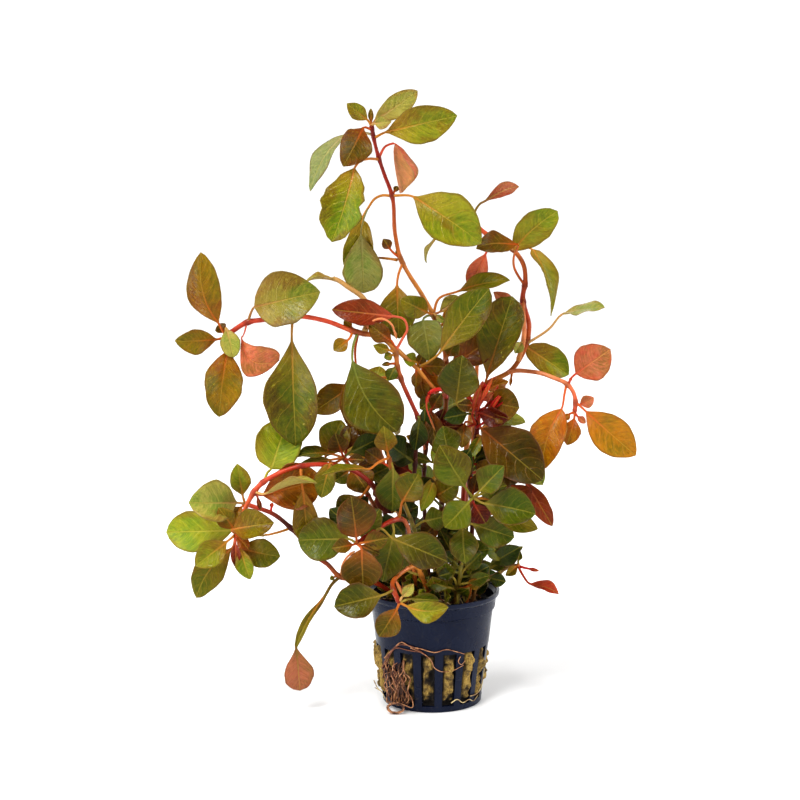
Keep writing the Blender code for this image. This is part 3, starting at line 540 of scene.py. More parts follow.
print("a straight path of 10 mm has", len(smooth_path([Vector(), Vector((0, 0, 10))], 1)), "points")

# %% [markdown]
# Many leaves share one mesh with their stem, so a small class gathers their points and faces. With
# each point it keeps what the finishes ask for: the place on the blade, the tint and the flush.

# %% The skin
class Skin:
    """Points, faces and what the finishes need to know of them, gathered into one mesh."""

    def __init__(self):
        self.points, self.faces, self.finishes = [], [], []
        self.blade, self.tint, self.flush = [], [], []

    def loft(self, rings, facts, finish_of):
        """Joins rings of points into a closed skin. facts holds (blade, tint, flush) for each point."""
        first, around = len(self.points), len(rings[0])
        for ring, known_here in zip(rings, facts):
            self.points += ring
            for blade, tint, flush in known_here:
                self.blade.append(blade)
                self.tint.append(tint)
                self.flush.append(flush)
        for row in range(len(rings) - 1):
            for index in range(around):
                a = first + row * around + index
                b = first + row * around + (index + 1) % around
                self.faces.append((a, b, b + around, a + around))
                self.finishes.append(finish_of(index))
        last = first + (len(rings) - 1) * around
        self.faces += [tuple(range(first, first + around)), tuple(range(last, last + around))]
        self.finishes += [finish_of(0), finish_of(0)]

    def piece(self, name, finishes):
        mesh = bpy.data.meshes.new(name)
        mesh.from_pydata([point * MM for point in self.points], [], self.faces)
        mesh.polygons.foreach_set("material_index", self.finishes)
        for title, kind, channel, values in (
            ("blade", "FLOAT_VECTOR", "vector", self.blade),
            ("tint", "FLOAT_COLOR", "color", self.tint),
            ("flush", "FLOAT_COLOR", "color", self.flush),
        ):
            layer = mesh.attributes.new(title, kind, "POINT")
            layer.data.foreach_set(channel, [number for value in values for number in value])
        bm = bmesh.new()
        bm.from_mesh(mesh)
        bmesh.ops.recalc_face_normals(bm, faces=bm.faces)
        bm.to_mesh(mesh)
        bm.free()
        mesh.shade_smooth()
        for used in finishes:
            mesh.materials.append(used)
        return placed(name, mesh)


PLANT_FINISHES = (LEAF_UPPER, LEAF_UNDER, STEM_SKIN)
UPPER, UNDER, STEM = range(3)
print("the skin has the finishes", [used.name for used in PLANT_FINISHES])

# %% [markdown]
# ## The leaf
# Each leaf is given by its stalk's points, its tip, its width and a few angles: `roll` turns it about
# its length, `arch` lifts its middle, `fold` raises its two edges and `bend` curves it sideways. `peak`
# says where it is widest, `neck` how far its foot is drawn out, `blunt` how round its end is and
# `ragged` how uneven its margin is.
#
# A ring of points is worked out for each step along the blade. Its outline is a sine that swells a
# little before the middle. Real blades are never flat: the midrib lies in a groove, the skin is
# quilted between the side veins and the margin waves, so the ring is moved for each of these too.

# %% The blade, ring by ring
Leaf = namedtuple(
    "Leaf", "hue stalk tip width roll arch fold bend peak wave thick blunt neck ragged",
    defaults=(0, 0.07, 20, 0, 0.52, 0.6, 0.46, 0.7, 1.0, 0.03))

RING = 20
OPENING = 0.12
TIP_RADIUS = 0.12
BLADE_THICKNESS = 0.36
RIB_DEPTH, RIB_WIDTH = 0.42, 0.55
GROOVE, GROOVE_WIDTH = 0.32, 0.7
QUILT = 0.26
RIGHT_WAVES, LEFT_WAVES = 1.9, 1.5
FOLD_SPREAD, TWIST_SPREAD = 13, 0.28


def outline(along, leaf):
    """Half the blade's width: a drawn-out foot, widest at the leaf's peak, and a short point."""
    turned = along ** (math.log(0.5) / math.log(leaf.peak))
    power = leaf.neck if turned < 0.5 else leaf.blunt
    return leaf.width / 2 * math.sin(math.pi * turned) ** power if 0 < along < 1 else 0


def blade_lift(leaf, x, along, half, lean, phase, open_up):
    """How far the middle of the blade's skin is lifted at x, from -1 at one margin to 1 at the other."""
    out = abs(x)
    beat = (along - out * (VEIN_LEAN[0] + VEIN_LEAN[1] * out)) * VEIN_PAIRS + (x > 0) * VEIN_STAGGER
    lift = out**1.4 * half * math.sin(lean)
    lift -= GROOVE * math.exp(-((x * half / GROOVE_WIDTH) ** 2)) * open_up
    lift -= QUILT * math.cos(2 * math.pi * (beat - 0.5)) * math.sin(math.pi * out) * min(1, half / 4)
    ripple = math.sin(2 * math.pi * (RIGHT_WAVES * along + phase[0])) * (x > 0)
    ripple += math.sin(2 * math.pi * (LEFT_WAVES * along + phase[1])) * (x <= 0)
    return lift + leaf.wave * out**2 * ripple * min(1, half / 5) * open_up


def blade_ring(leaf, centre, side, face, along, phase):
    """One ring across the blade, and the place on the blade of each of its points."""
    half = max(outline(along, leaf), leaf.thick * (1 - along) + TIP_RADIUS * along)
    open_up = min(1, along / OPENING)
    middle = math.sin(math.pi * along)
    lean = math.radians(leaf.fold + FOLD_SPREAD * phase[0]) * middle ** 0.5 if 0 < along < 1 else 0
    turn = Quaternion(side.cross(face), TWIST_SPREAD * phase[1] * middle)
    side, face = turn @ side, turn @ face
    points, places = [], []
    for index in range(RING):
        angle = 2 * math.pi * index / RING
        x, up = math.cos(angle), math.sin(angle)
        uneven = noise.noise(Vector((7 * along, 3 if x > 0 else -3, 9 * phase[0])))
        reach = half * (1 + leaf.ragged * 2 * uneven * abs(x) * open_up)
        flat = BLADE_THICKNESS / 2 * abs(up) ** 0.6
        if up < 0:
            flat += RIB_DEPTH * (1 - 0.75 * along) * math.exp(-((x * half / RIB_WIDTH) ** 2))
        round_off = leaf.thick * abs(up)
        depth = round_off + (flat - round_off) * open_up
        lift = blade_lift(leaf, x, along, half, lean, phase, open_up) + math.copysign(depth, up)
        points.append(centre + side * x * reach + face * lift)
        places.append((x, along, half))
    return points, places


print("a ring across a blade has", RING, "points")

# %% [markdown]
# The whole leaf is its stalk, a round tube, and then the blade. `leaf_frame` finds which way the blade
# faces: towards the eye, turned by its roll and a little by chance. That chance comes from solid noise
# at the leaf's own place, so it is different on every leaf and the same in every run.

# %% One leaf
BLADE_STEPS = 22
STALK_STEP = 1.2
STALK_FOOT, STALK_FLARE, STALK_TAPER = 1.5, 1.25, 0.3
CHANCE_SCALES, CHANCE_GAIN = (0.37, 0.29, 0.41), 2.4
ROLL_SPREAD, ROLL_SCALE = 26, 0.21
ARCH_SPREAD, LATE_SPREAD = 0.035, 1.1


def leaf_frame(leaf):
    """The stalk, foot and tip in millimetres, and the blade's axis, side and face."""
    stalk = [seen(point) for point in leaf.stalk]
    base, tip = stalk[-1], seen(leaf.tip)
    axis = (tip - base).normalized()
    face = (EYE - base).normalized()
    face = (face - face.dot(axis) * axis).normalized()
    face.rotate(Quaternion(axis, math.radians(leaf.roll + ROLL_SPREAD * noise.noise(base * ROLL_SCALE))))
    return stalk, base, tip, axis, axis.cross(face), face


def grow_leaf(skin, leaf):
    """Adds a leaf to a skin, from where its stalk leaves the stem to its tip."""
    stalk, base, tip, axis, side, face = leaf_frame(leaf)
    length = (tip - base).length
    spots = [spot * scale for spot, scale in zip((base, tip, tip), CHANCE_SCALES)]
    phase = [max(-1, min(1, CHANCE_GAIN * noise.noise(spot))) for spot in spots]
    arch = leaf.arch + ARCH_SPREAD * phase[2]
    colours = HUES[leaf.hue]
    rings, facts = [], []

    def centre(along):
        rise = 4 * along * (1 - along) * length
        late = 1 + LATE_SPREAD * phase[2] * (along - 0.5)
        return base + axis * length * along + face * arch * late * rise + side * leaf.bend * rise

    path = smooth_path([*stalk, centre(0.1)], STALK_STEP)
    while (path[-1] - base).dot(axis) > 0.05 and len(path) > 3:
        path.pop()
    back = list(reversed(path))
    directions = list(reversed(carried([centre(0.05), *back], side, face)[1:]))
    for index, (point, (across, up)) in enumerate(zip(path[:-1], directions)):
        share = index / max(1, len(path) - 1)
        radius = leaf.thick * (STALK_FLARE - STALK_TAPER * share if index else STALK_FOOT)
        turns = [math.cos(2 * math.pi * step / RING) for step in range(RING)]
        rings.append(round_ring(point, across, up, radius, RING))
        facts.append([((turn, share - 1.001, radius), *colours) for turn in turns])
    for index in range(BLADE_STEPS + 1):
        along = index / BLADE_STEPS
        ring, places = blade_ring(leaf, centre(along), side, face, along, phase)
        rings.append(ring)
        facts.append([(place, *colours) for place in places])
    skin.loft(rings, facts, lambda index: UPPER if index < RING // 2 else UNDER)


print("a leaf has", RING * BLADE_STEPS, "faces on its blade")

# %% [markdown]
# ## The stem
# A stem is a round tube whose radius tapers from its foot to its tip and swells at the nodes, where
# the leaf pairs leave it. Its colour runs through a few named hues from low to high, and darkens at
# each node. The nodes aren't listed: they are found from where the leaves' stalks start.

# %% One stem
Stem = namedtuple("Stem", "radius hues points")
STEM_RING, STEM_STEP = 12, 1.1
STEM_RIBS, STEM_UNEVEN = 0.05, 0.06
NODE_SWELL, NODE_REACH, NODE_DARKENS = 0.4, 1.3, 0.45


def blended(hues, share):
    """A colour from a run of named hues, share of the way along it."""
    place = share * (len(hues) - 1)
    low = min(int(place), len(hues) - 2)
    first, second = (Vector(HUES[hue][0]) for hue in hues[low:low + 2])
    return first.lerp(second, place - low)


def grow_stem(skin, stem, nodes):
    """Adds a stem to a skin. nodes are the points where leaves leave it."""
    path = smooth_path([seen(point) for point in stem.points], STEM_STEP)
    low, high = stem.radius
    rings, facts = [], []
    for index, (point, (across, up)) in enumerate(zip(path, around_tube(path))):
        share = index / (len(path) - 1)
        near = min([(point - node).length for node in nodes], default=99)
        swell = math.exp(-((near / NODE_REACH) ** 2))
        radius = (low + (high - low) * share) * (1 + NODE_SWELL * swell)
        radius *= 1 + STEM_UNEVEN * noise.noise(point * 0.25)
        if index in (0, len(path) - 1):
            radius *= 0.7
        tint = blended(stem.hues, share) * (1 - NODE_DARKENS * swell)
        tint[3] = 1
        rings.append(round_ring(point, across, up, radius, STEM_RING, STEM_RIBS))
        facts.append([((0, 0, radius), tuple(tint), tuple(tint))] * STEM_RING)
    skin.loft(rings, facts, lambda index: STEM)


print("a stem has", STEM_RING, "sides")

# %% [markdown]
# ## Where everything grows
# The stems come first, each from its foot in the wool to its tip. A row holds a stem's name, its
# radius at the foot and at the tip, its hues, and its points as (across, up, back) in millimetres,
# read from the photograph. A row that ends in a backslash goes on in the next line. Two stems fork,
# and their second arm is listed after them.

# %% Stems from their foot to their tip
def points_of(text):
    return [tuple(float(number) for number in point.split()) for point in text.split(",")]


def stems_of(text):
    stems = {}
    for row in text.strip().split("\n"):
        name, rest = row.split(":")
        radius, hues, points = rest.split(";")
        stems[name] = Stem([float(number) for number in radius.split()], hues.split(), points_of(points))
    return stems


STEMS = stems_of("""
tall_stem: 1.25 0.7; stem_dark stem_dark stem_brown stem_brown stem_orange golden stem_orange wine wine; \
    3 54 4, 4 78 4, 4.5 104 3, 6 130 2, 5.4 145 1, 3.4 153 0, 0.6 160.3 -1, -4.7 169.8 -1, \
    -10.1 178.2 -1.5, -13.1 184 -2, -15.4 194 -2, -16.8 210.7 -2, -20 219.5 -1, -22.3 226.3 -1, \
    -24.5 235 -1, -25.5 241 -1
left_arch_stem: 0.75 1; stem_dark stem_dark stem_dark stem_dark ruby golden scarlet scarlet ruby; \
    -6 50 -3, -8 80 -8, -6.6 106 -11, -6 117.6 -11, -8 122.2 -11, -12.9 133.3 -12, -14.6 139 -13, \
    -15.4 144.7 -13.5, -18.5 149 -14, -23.3 151.4 -14.5, -32.4 153.5 -15, -44.6 158 -17, \
    -55 159.9 -18.5, -71.4 158.4 -20, -77.3 157.5 -20, -83.5 153.9 -20, -87 151.2 -20
lower_left_upper_stem: 0.95 0.95; stem_brown stem_brown stem_dark wine ruby scarlet stem_orange; \
    -11 46 -8, -18 72 -17, -27 91 -26, -34 95.5 -30, -40.1 97 -32, -55 97 -34, -65.2 93.5 -35, \
    -72.8 88.5 -35, -75.1 85.5 -35, -79.3 77 -34.5, -82.5 68 -33.5
lower_left_lower_stem: 1 0.9; stem_brown ruby stem_orange wine stem_dark scarlet; -17 44 -6, -24 48 -9, \
    -30 49 -11, -38.6 50.5 -14, -44 55.8 -17, -48.5 58.9 -19, -58.3 70 -22, -67.8 77.4 -24, \
    -73 79.3 -25, -78.9 81.2 -25
front_left_shoot: 0.9 0.9; stem_brown stem_orange stem_salmon ruby wine; -7 44 -13, -8.5 62 -21, \
    -13.3 74.8 -28, -17.5 73.7 -31, -21.8 71.4 -34, -27.9 66.9 -37, -31.7 64.5 -38.5
front_low_shoot: 0.9 0.9; stem_brown stem_orange golden stem_orange ruby; -1 42 -15, -4 50 -21, \
    -7.4 54.9 -28, -14.3 50.9 -34, -16.6 47.8 -38, -15.8 44 -41, -13.5 39.4 -43
front_right_shoot: 1.1 0.8; stem_brown stem_pale stem_pale wine; 7 46 -8, 10 58 -12, 13 70 -17, \
    17.3 84 -24
mid_shoot: 0.9 0.8; stem_brown stem_pale stem_orange; -1.5 47 -6, -6 66 -13, -12 82 -20, -15.2 90 -23.5, \
    -18.3 101 -28
mid_left_shoot: 0.9 0.8; stem_dark stem_orange; -12 50 2, -20 72 -4, -30 90 -13, -37.4 101 -20
right_high_stem: 1.2 0.9; stem_dark stem_dark wine golden golden stem_orange ruby stem_orange scarlet; \
    11 52 3, 13 80 8, 15 108 10, 20.5 129.8 10, 33.9 137.9 10, 38.9 146.3 10, 40.8 155.3 10, \
    38.1 167.9 10, 39.2 175 10, 38.5 181.4 9, 33 189 8, 21.4 195.6 7, 17 200 7
right_side_stem: 0.9 0.8; stem_salmon stem_salmon scarlet; 31.6 136.2 9.8, 35.6 137.1 8.2, 39.7 136.9 6, \
    45.7 136 3, 51.5 133.9 1, 56.5 131.6 0, 59.1 128.6 -1, 60.3 124.7 -1, 59.9 119.4 -1
upper_centre_shoot: 0.9 0.8; stem_dark stem_dark stem_orange; -1.5 52 2, -3.5 90 0, -2.5 118 -3, \
    -6.3 138 -6
right_middle_shoot: 1 0.9; stem_dark stem_dark wine; 15 48 -2, 17 76 0, 16 95 0, 19 113 -2, 19 125 -3
rim_right_shoot: 0.8 0.7; stem_brown stem_tan stem_tan; 17 41 -9, 18.5 45.5 -9, 23 49.5 -7.5, 28 52 -6, \
    32.5 55 -6, 36.4 55.2 -6
low_shoot: 0.8 0.7; stem_brown stem_pale; 10 43 -13, 11.5 49 -16, 12.5 56 -19
back_left_shoot: 1 0.8; stem_brown stem_orange; -8 52 8, -14 78 15, -22 104 23, -25 122 27
back_right_shoot: 1 0.8; stem_brown stem_orange; 10 54 11, 15 88 19, 18 118 26, 19 142 30
back_low_shoot: 0.9 0.8; stem_brown stem_pale; 2 54 12, 5 72 23, 8 90 33
""")
OFFSHOOTS = stems_of("""
left_arch_stem: 1 0.85; golden golden golden stem_orange; -18.5 149 -14, -15 146.2 -12.4, \
    -10.4 141.8 -9.4, -6.3 138 -7, -2 132.6 -7.5, 2.5 127.3 -8
right_high_stem: 1.1 0.8; golden stem_salmon stem_orange; 36 141 9.4, 38 147.5 8.8, 38.8 155 8.6, \
    38.4 161.5 9, 38.3 168.5 9.8
""")
print("stems:", len(STEMS))

# %% [markdown]
# The large leaves are pieces of their own. Each one stands for the plain leaf of the same name. A row
# holds the leaf's name and hue, the points of its stalk and its tip, and after the semicolon its
# width, its roll, arch and fold where they aren't the usual ones, and any other trait by name.

# %% Large leaves
def leaf_of(row):
    route, shape = row.split(";")
    hue, route = route.split(None, 1)
    *stalk, tip = points_of(route)
    plain = [float(word) for word in shape.split() if "=" not in word]
    traits = dict(word.split("=") for word in shape.split() if "=" in word)
    return Leaf(hue, stalk, tip, *plain, **{trait: float(value) for trait, value in traits.items()})


def named_leaves(text):
    rows = [row.split(":") for row in text.strip().split("\n")]
    return {name: leaf_of(row) for name, row in rows}


LEAVES = named_leaves("""
leaf_top_right: olive -24 235 -1, -19.5 237.2 -3, 10.5 244.2 -9; 15.5 -12
leaf_top_round: brown -25.5 238.4 -1, -28.8 239.2 -3, -37.2 223 -12; 13.4 blunt=0.6
leaf_top_left: silver -25 236.2 -0.5, -31 237.4 2, -35 236.8 4, -51.4 212.6 9; 12.5 42 0.14
leaf_upper_left: lime -22.8 225.9 -1.5, -27 226 -5, -30.5 224.8 -8, -32.6 222 -9, -42.1 191.2 -16; 17.6 \
    bend=-0.03 wave=1 blunt=0.6 neck=0.7 ragged=0.14
leaf_drooping: olive -17 210.4 -2, -20.6 210.7 0, -24 209.3 2, -26.5 205.9 3, -29.3 200.6 4, \
    -31.6 170.6 6; 12.6 peak=0.5 blunt=0.55 neck=0.5
leaf_upper_right: olive -16.8 210.6 -2, -7.8 210.1 -5, 20.7 190.5 -12; 20.5 -10
leaf_below_node: olive_mid -12.3 182.4 -2, -14.2 177 -4, -14.7 173 -4.5, -13.8 150.5 -7; 15.5
leaf_right_spoon: olive 33.5 188.6 7.5, 34.4 187.8 5, 52.6 204 -4; 13 bend=-0.05 peak=0.58 blunt=0.5 \
    neck=0.5
leaf_right_hanging: olive 33.8 188.2 8, 37 189 11, 42 188 11, 50.2 160 9; 10 -50 0.08 bend=-0.05 \
    peak=0.36 blunt=1.1 neck=0.5
leaf_right_level: pale 40.2 148.6 9.5, 49.5 154.9 6, 55.2 161 4, 72.4 164 -2; 14 -68 0.05 18
leaf_far_right_salmon: salmon 57.3 131.4 0, 58.7 134.2 -2, 60.5 135.8 -3, 74.8 146 -9; 15.6 peak=0.5 \
    blunt=0.6 neck=0.7
leaf_right_orange: orange 56.4 131 0, 55.6 127 -2, 54.4 121 -3, 46.4 95.4 -8; 14.6 bend=0.07 peak=0.46 \
    neck=0.75
leaf_far_right_orange: orange 60.4 123.8 -1, 63 121.5 -3, 64.8 119.8 -4, 85.6 101.4 -10; 15.6 neck=0.8
leaf_centre_long: fern -5.2 138.8 -7, -1 141 -11, 3 144.3 -13, 24 171.5 -14; 16 -12 peak=0.56 blunt=0.6 \
    neck=1
leaf_centre_right: olive_dark 19.8 124.5 -3, 21.6 129.5 -4, 23 134 -4, 33.6 168.3 -2; 19.2 peak=0.58 \
    blunt=0.5 neck=0.9
leaf_centre_diamond: dark_olive 18.8 120.5 -3, 12 121 -10, 10.2 124 -12, 12.6 143.4 -16; 17
leaf_right_dark: umber 19.3 117 -2.5, 20.8 112.6 -5, 46.5 91.2 -14; 21 blunt=0.62 neck=0.8
leaf_left_long: fern -58.5 159.4 -18.6, -58.8 155 -20.6, -58.9 151.5 -22, -57.2 105.4 -26; 22.4 \
    peak=0.56 neck=1.2
leaf_left_broad: moss -31.3 153 -15, -33.2 147 -18, -33.4 141 -19, -14.4 111.6 -24; 23 bend=0.1 \
    peak=0.55 blunt=0.55 neck=0.9
leaf_left_red: red -15.2 145.5 -13.5, -12.4 150.5 -12.5, -10.4 154.5 -12, -12 158.8 -12.5, \
    -15.5 159.8 -13, -42 162.7 -16; 11
leaf_left_upper: dull_green -77.2 157.6 -20, -76.2 161 -22, -74.6 163.8 -23, -47 170.2 -25; 22 -8 \
    peak=0.43 neck=0.75
leaf_far_left_upright: olive_orange -86.5 151.5 -20, -88.2 154.2 -21, -89.8 157.2 -22, -97 186.7 -25; 14 \
    bend=-0.13 neck=0.8
leaf_far_left_hanging: olive_orange -86.3 151.3 -20, -85.9 145.4 -24, -89.4 117.6 -28; 15.6 bend=0.03 \
    peak=0.47 blunt=0.65
leaf_far_left_salmon: salmon -77.6 157.4 -20, -79.5 151.5 -22, -80 151 -23, -64.2 141.4 -25; 14 \
    bend=0.34 peak=0.64 blunt=0.55 neck=0.7
leaf_low_left_pale: pale -78.5 81.1 -25, -82 81.6 -28, -102 81.6 -38; 17 blunt=0.6 neck=0.8
leaf_low_left_bright: bright -82.2 68.8 -33.5, -84 70 -30, -111.7 69.2 -22; 16.8 blunt=0.62 neck=0.65
leaf_low_left_pointed: olive_mid -82.5 68.2 -33.5, -84 62.5 -34, -99 41.6 -37; 12.6 bend=0.1
leaf_low_left_orange: orange_brown -75.1 85.5 -35, -71 84.8 -32, -46 91.6 -27; 19 neck=0.8
leaf_low_left_upright: bright -70.8 90 -35, -69 94.4 -30, -67.6 95.8 -26, -60.4 118.6 -14; 18.6 \
    peak=0.42 blunt=0.8 neck=0.42
leaf_front_left_brown: bronze -31.5 64.7 -38.5, -31.8 67 -40.5, -34 84 -43; 16.8 blunt=0.6 neck=0.65
leaf_front_left_crinkled: green -31.6 64.6 -38.5, -35 66.4 -38, -56.3 65.8 -36; 17.5 wave=0.9 blunt=0.6 \
    neck=0.7
leaf_front_left_olive: bronze -31.4 64.4 -38.5, -29.6 62 -41, -28.8 45.3 -42; 16.6 neck=0.65
leaf_front_middle: dark_olive -23.8 69.9 -35, -21 70.6 -38.5, -16.6 66.6 -40, 6.5 57 -39; 14.5
leaf_front_green: green -16.8 73.9 -30.5, -16 69 -32, -20.8 48.3 -34; 12.5
leaf_front_low_dark: dark_olive -16 45 -40.5, -21.4 42.6 -45.5, -41 38 -49; 14 blunt=0.6 neck=0.85
leaf_front_bright: leafy 17 84 -24, 13.8 88.3 -27, 3.2 105.6 -31; 15.5
leaf_front_right: deep_green 17.2 83.7 -24, 21.8 81.3 -27, 43.5 77 -31; 15.5
leaf_trailing_salmon: trailing -38.6 50.5 -14, -42 47.4 -17, -44.3 43.6 -18, -47 38.6 -18.5, \
    -49.9 34.5 -19, -53.5 28.7 -19.5, -57.2 22 -20, -55.4 2.6 -21; 12.4 fold=20 peak=0.62 thick=0.55 \
    blunt=0.5 neck=1
leaf_centre_blue_green: blue_green 0.5 159.8 -1, -1.6 160.2 -5, -3.8 158.2 -8, -0.9 140.8 -9; 15 \
    peak=0.34 blunt=0.8 neck=0.4
""")
print("large leaves:", len(LEAVES))

# %% [markdown]
# The smaller leaves are one piece with the stem that they grow on, as they are in the plain model.
# The later ones of each stem are growth that the plain model leaves out: buds, stipules, hidden
# leaves between the large ones and short stalks above the wool. They fill the bunch, and give each
# piece of stem the detail that the eye expects. The tall stem comes first: it ends in a small rosette
# of young leaves, and its lowest leaves are dark and hidden in the bunch.

# %% Small leaves of the tall stem
def leaves_by_stem(text):
    """The leaves of each stem, from rows that are set in below the stem's name."""
    groups = {}
    for row in text.strip().split("\n"):
        if row.startswith(" "):
            groups[stem].append(leaf_of(row))
        else:
            stem = row
            groups[stem] = []
    return groups


def count_small_leaves():
    print("small leaves so far:", sum(len(leaves) for leaves in SMALL_LEAVES.values()))


SMALL_LEAVES = leaves_by_stem("""
tall_stem
    olive -25.3 239.5 -1, -27 242.3 -2, -35.6 249.2 -6; 6.5
    pale -25.2 239 -1, -23.8 242.4 1, -6 254.6 5; 9.5 neck=0.6
    pale -25.3 240.2 -1, -24.4 240.8 -3, -17.3 241.6 -7; 5.4
    brown_olive -25.4 240 -1, -25.5 241 -1, -25.7 247.2 -1; 2.3
    salmon -22.3 226.5 -1, -19.2 231.5 1, -15.2 232.2 2, -13 211.6 4; 16 -80 0 62 peak=0.62 blunt=0.4 \
        neck=0.42
    brown -13.2 184.2 -2, -17.5 188 -3, -20.4 192.3 -4; 4.4
    sage -17 210.4 -2, -20.6 210.7 0, -24 209.3 2, -26.5 205.9 3, -29 199.6 2.6, -29.8 194 0.6, \
        -28.6 169.6 0; 16.4 0 0.05 8 peak=0.62 blunt=0.45 neck=0.62 thick=0.34
    olive_mid 0.5 160.3 -1, -1.5 161.3 -7, -13.3 167 -12; 10.5
    olive_mid 0.6 160.6 -1, 2.6 167 0, 11 170.4 -1, 32.6 175.3 -3; 9 -40
    rust 5.6 136.8 1.6, 8 138.8 -1, 27 151.5 3; 14 -15
    green 4.7 106 3, 6.5 101 -8, 7.2 100 -15, 4.6 113.6 -20; 13
    golden 3 154 0, 4.4 157 -2, 7.6 164 -4; 2.6
    olive_mid 5.2 141 1, 6.6 143 -4, 10.6 150.4 -9; 7
    dark_green 4.4 70 3.6, 5 66 -6, 9 78 -14; 10
    olive -13.2 184.2 -2, -13.8 185.4 -2, -14.6 188.4 -1; 2
    brown -16.6 210.5 -2, -16 212 -1, -14.4 214.6 0; 2.4
    olive -14.7 183.6 -1, -21.6 184.4 3, -23 184.3 5, -34 180 10; 10
    grey_green 1.2 160.8 -1, 3 161.6 0, 13.4 166.6 3; 8 -30
    pale 0.4 160.6 -1, 1.6 160.4 -5, 5.4 157.6 -7; 3.4 30
    green 3.5 98.5 1, 0 98.6 -2, -11.3 102.8 -6; 4.5
    olive 3.8 94 1.5, 1.5 93.5 -5, -4.5 78 -12; 6.5
    dark_green 4.2 88 2, 8 92 -6, 16 104 -12; 11
    dark_green 4 80 2, 0 84 -4, -8 92 -9; 10
    green 4 76 2, 7 76 -5, 15 70 -10; 10
    dark_brown 3.8 74 2.4, 2 73 -2, -4.4 67 -6; 8
    olive_dark 5.8 126 2, 2 127 -3, -5 121 -6; 8
    crimson 5.8 126 2, 4.8 128.8 -7, 2.4 129.2 -10, -1 127.6 -10.6, -2.6 123 -10.6; 1.8 thick=0.8
    salmon 4.6 127 -6, -1 127 -10.4, -2.2 124 -10.8, -1.6 119 -11, 1.4 111.6 -11.4; 0.9 thick=0.34
""")
count_small_leaves()

# %% [markdown]
# On the left one stem arches far out and two lie low. Their ends are crowded with young orange and
# salmon leaves, because a stem that lies down in the light sends out many short side shoots there.

# %% Small leaves on the left
SMALL_LEAVES.update(leaves_by_stem("""
left_arch_stem
    brown -31 153.2 -14.8, -32.3 145 -12, -32 140 -11, -29.5 109.5 -12; 16
    brown_olive -13.2 134 -12, -22 134 -8, -33 131 -6, -50 119.6 -9; 12
    olive_orange -87 151 -20, -90.3 150.2 -22, -107.9 149.6 -28; 10.5
    olive_orange -33.2 153.8 -15, -35.2 150 -18, -41.3 145.6 -20; 6
    brown -15.6 146.5 -13.6, -17 149.5 -15, -26.5 156.5 -17; 8
    olive -15.2 144 -13.5, -16.5 143.7 -14, -20 142.5 -15; 4
    green -14.5 138.8 -12.8, -15.5 138.6 -13.4, -18.3 133 -15; 5.5
    pale -86.5 151.5 -20, -86.4 155 -22.5, -83.4 142.6 -26; 8 blunt=0.5
    brown -86 151.8 -20, -87 153 -20, -89.9 156.4 -18; 5
    olive_orange -32.4 153.5 -15, -33.5 155 -14.5, -37 158.2 -14; 3.5
    pale -28.5 152.9 -14.8, -26.5 160 -9, -28.5 167 -7, -35 172 -7, -41 175.6 -7, -53 174.8 -9; 6 70 \
        thick=1
    olive -15.4 144.7 -13.5, -17.6 145.5 -15, -24.5 147.6 -17; 4.5
    stem_salmon -27 155 -15, -24.6 158 -17, -21.1 158.9 -18, -16.3 155.3 -17, -14.8 150.2 -15; 1.1 \
        thick=0.4
    brown -14.8 140 -13, -17 140 -14, -21 139.6 -15; 2
    dark_green -7 98 -10, -11 101 -13, -20 108 -17; 12
    dark_green -6 117.6 -11, -5.4 117.4 -13.4, -7 103.6 -14; 8.5
    maroon -7.3 92 -9.4, -9.4 95 -7, -19 99.6 -5; 9
    maroon -7.4 90 -9.4, -11 90 -6, -25 85 -4; 10
    dark_green -7.6 86 -9, -13 88 -13, -24 92 -17; 12
lower_left_upper_stem
    olive_mid -82.4 68.3 -33.5, -84 70.4 -37, -66.6 73.2 -43; 12.6
    olive -82.5 68.2 -33.5, -86 65.4 -38, -99.4 55 -43; 11
    olive_mid -82.4 68.6 -33.5, -79.2 62 -35, -63.8 59 -37; 11.5 neck=0.5
    olive -82.5 68.2 -33.5, -80.6 62.5 -37, -76.4 49.4 -40; 7.2
    pale -74.6 86.2 -35, -70 85.4 -38.5, -48.5 90.2 -41; 9 -72
    olive_mid -55.2 97 -34, -54.8 91 -36.5, -54.3 87 -36, -52.2 63.5 -31; 10.5 neck=0.8
    olive_orange -82.4 68.6 -33.5, -83 70.4 -35.5, -89.6 79.4 -37; 8
    red -82.5 68.2 -33.5, -82.6 65 -36, -82.5 54.5 -39; 4
    orange_brown -82.4 68.4 -33.5, -81.8 67.4 -36, -77 62 -38; 5
    red -75 85.6 -35, -73.4 84.4 -34, -71.9 78.6 -33; 2
    olive_mid -40.8 97 -32, -43 98 -34, -46.6 83.6 -36; 8.6 neck=0.5
    olive_dark -26 89 -25, -30 84 -26, -40 77 -26; 10
lower_left_lower_stem
    olive -78.5 81.1 -25, -79.5 84.5 -26, -81.8 97.8 -28; 8.5
    olive -59.6 70.8 -22, -66 68.8 -26, -70 68.1 -28, -77 67.3 -30; 4 70
    olive_mid -42 47.4 -17, -43.2 45.6 -17.6, -44.3 43.6 -18, -57.4 20 -20.2; 3.6 30 bend=0.03 peak=0.6
    olive_orange -78.7 80.8 -25.2, -79.8 80 -27, -84 75 -29; 5
    crimson -67.8 77.2 -24, -67.5 79.4 -24, -67.1 81.6 -24; 1.8
    olive -39.5 51.2 -14.4, -41 50.4 -15, -42.8 49.5 -16; 2.4
    stem_salmon -38.2 50.6 -14, -37.4 55.8 -16, -35.1 59.3 -18, -32.5 61.2 -20; 1.5
"""))
count_small_leaves()

# %% [markdown]
# The shoots in front carry most of the broad green leaves. Behind each pair sit smaller, darker ones,
# which close the view into the bunch; their dark hues are partly painted shade of the bunch's heart.
# Without them one could look right through it between the stems.

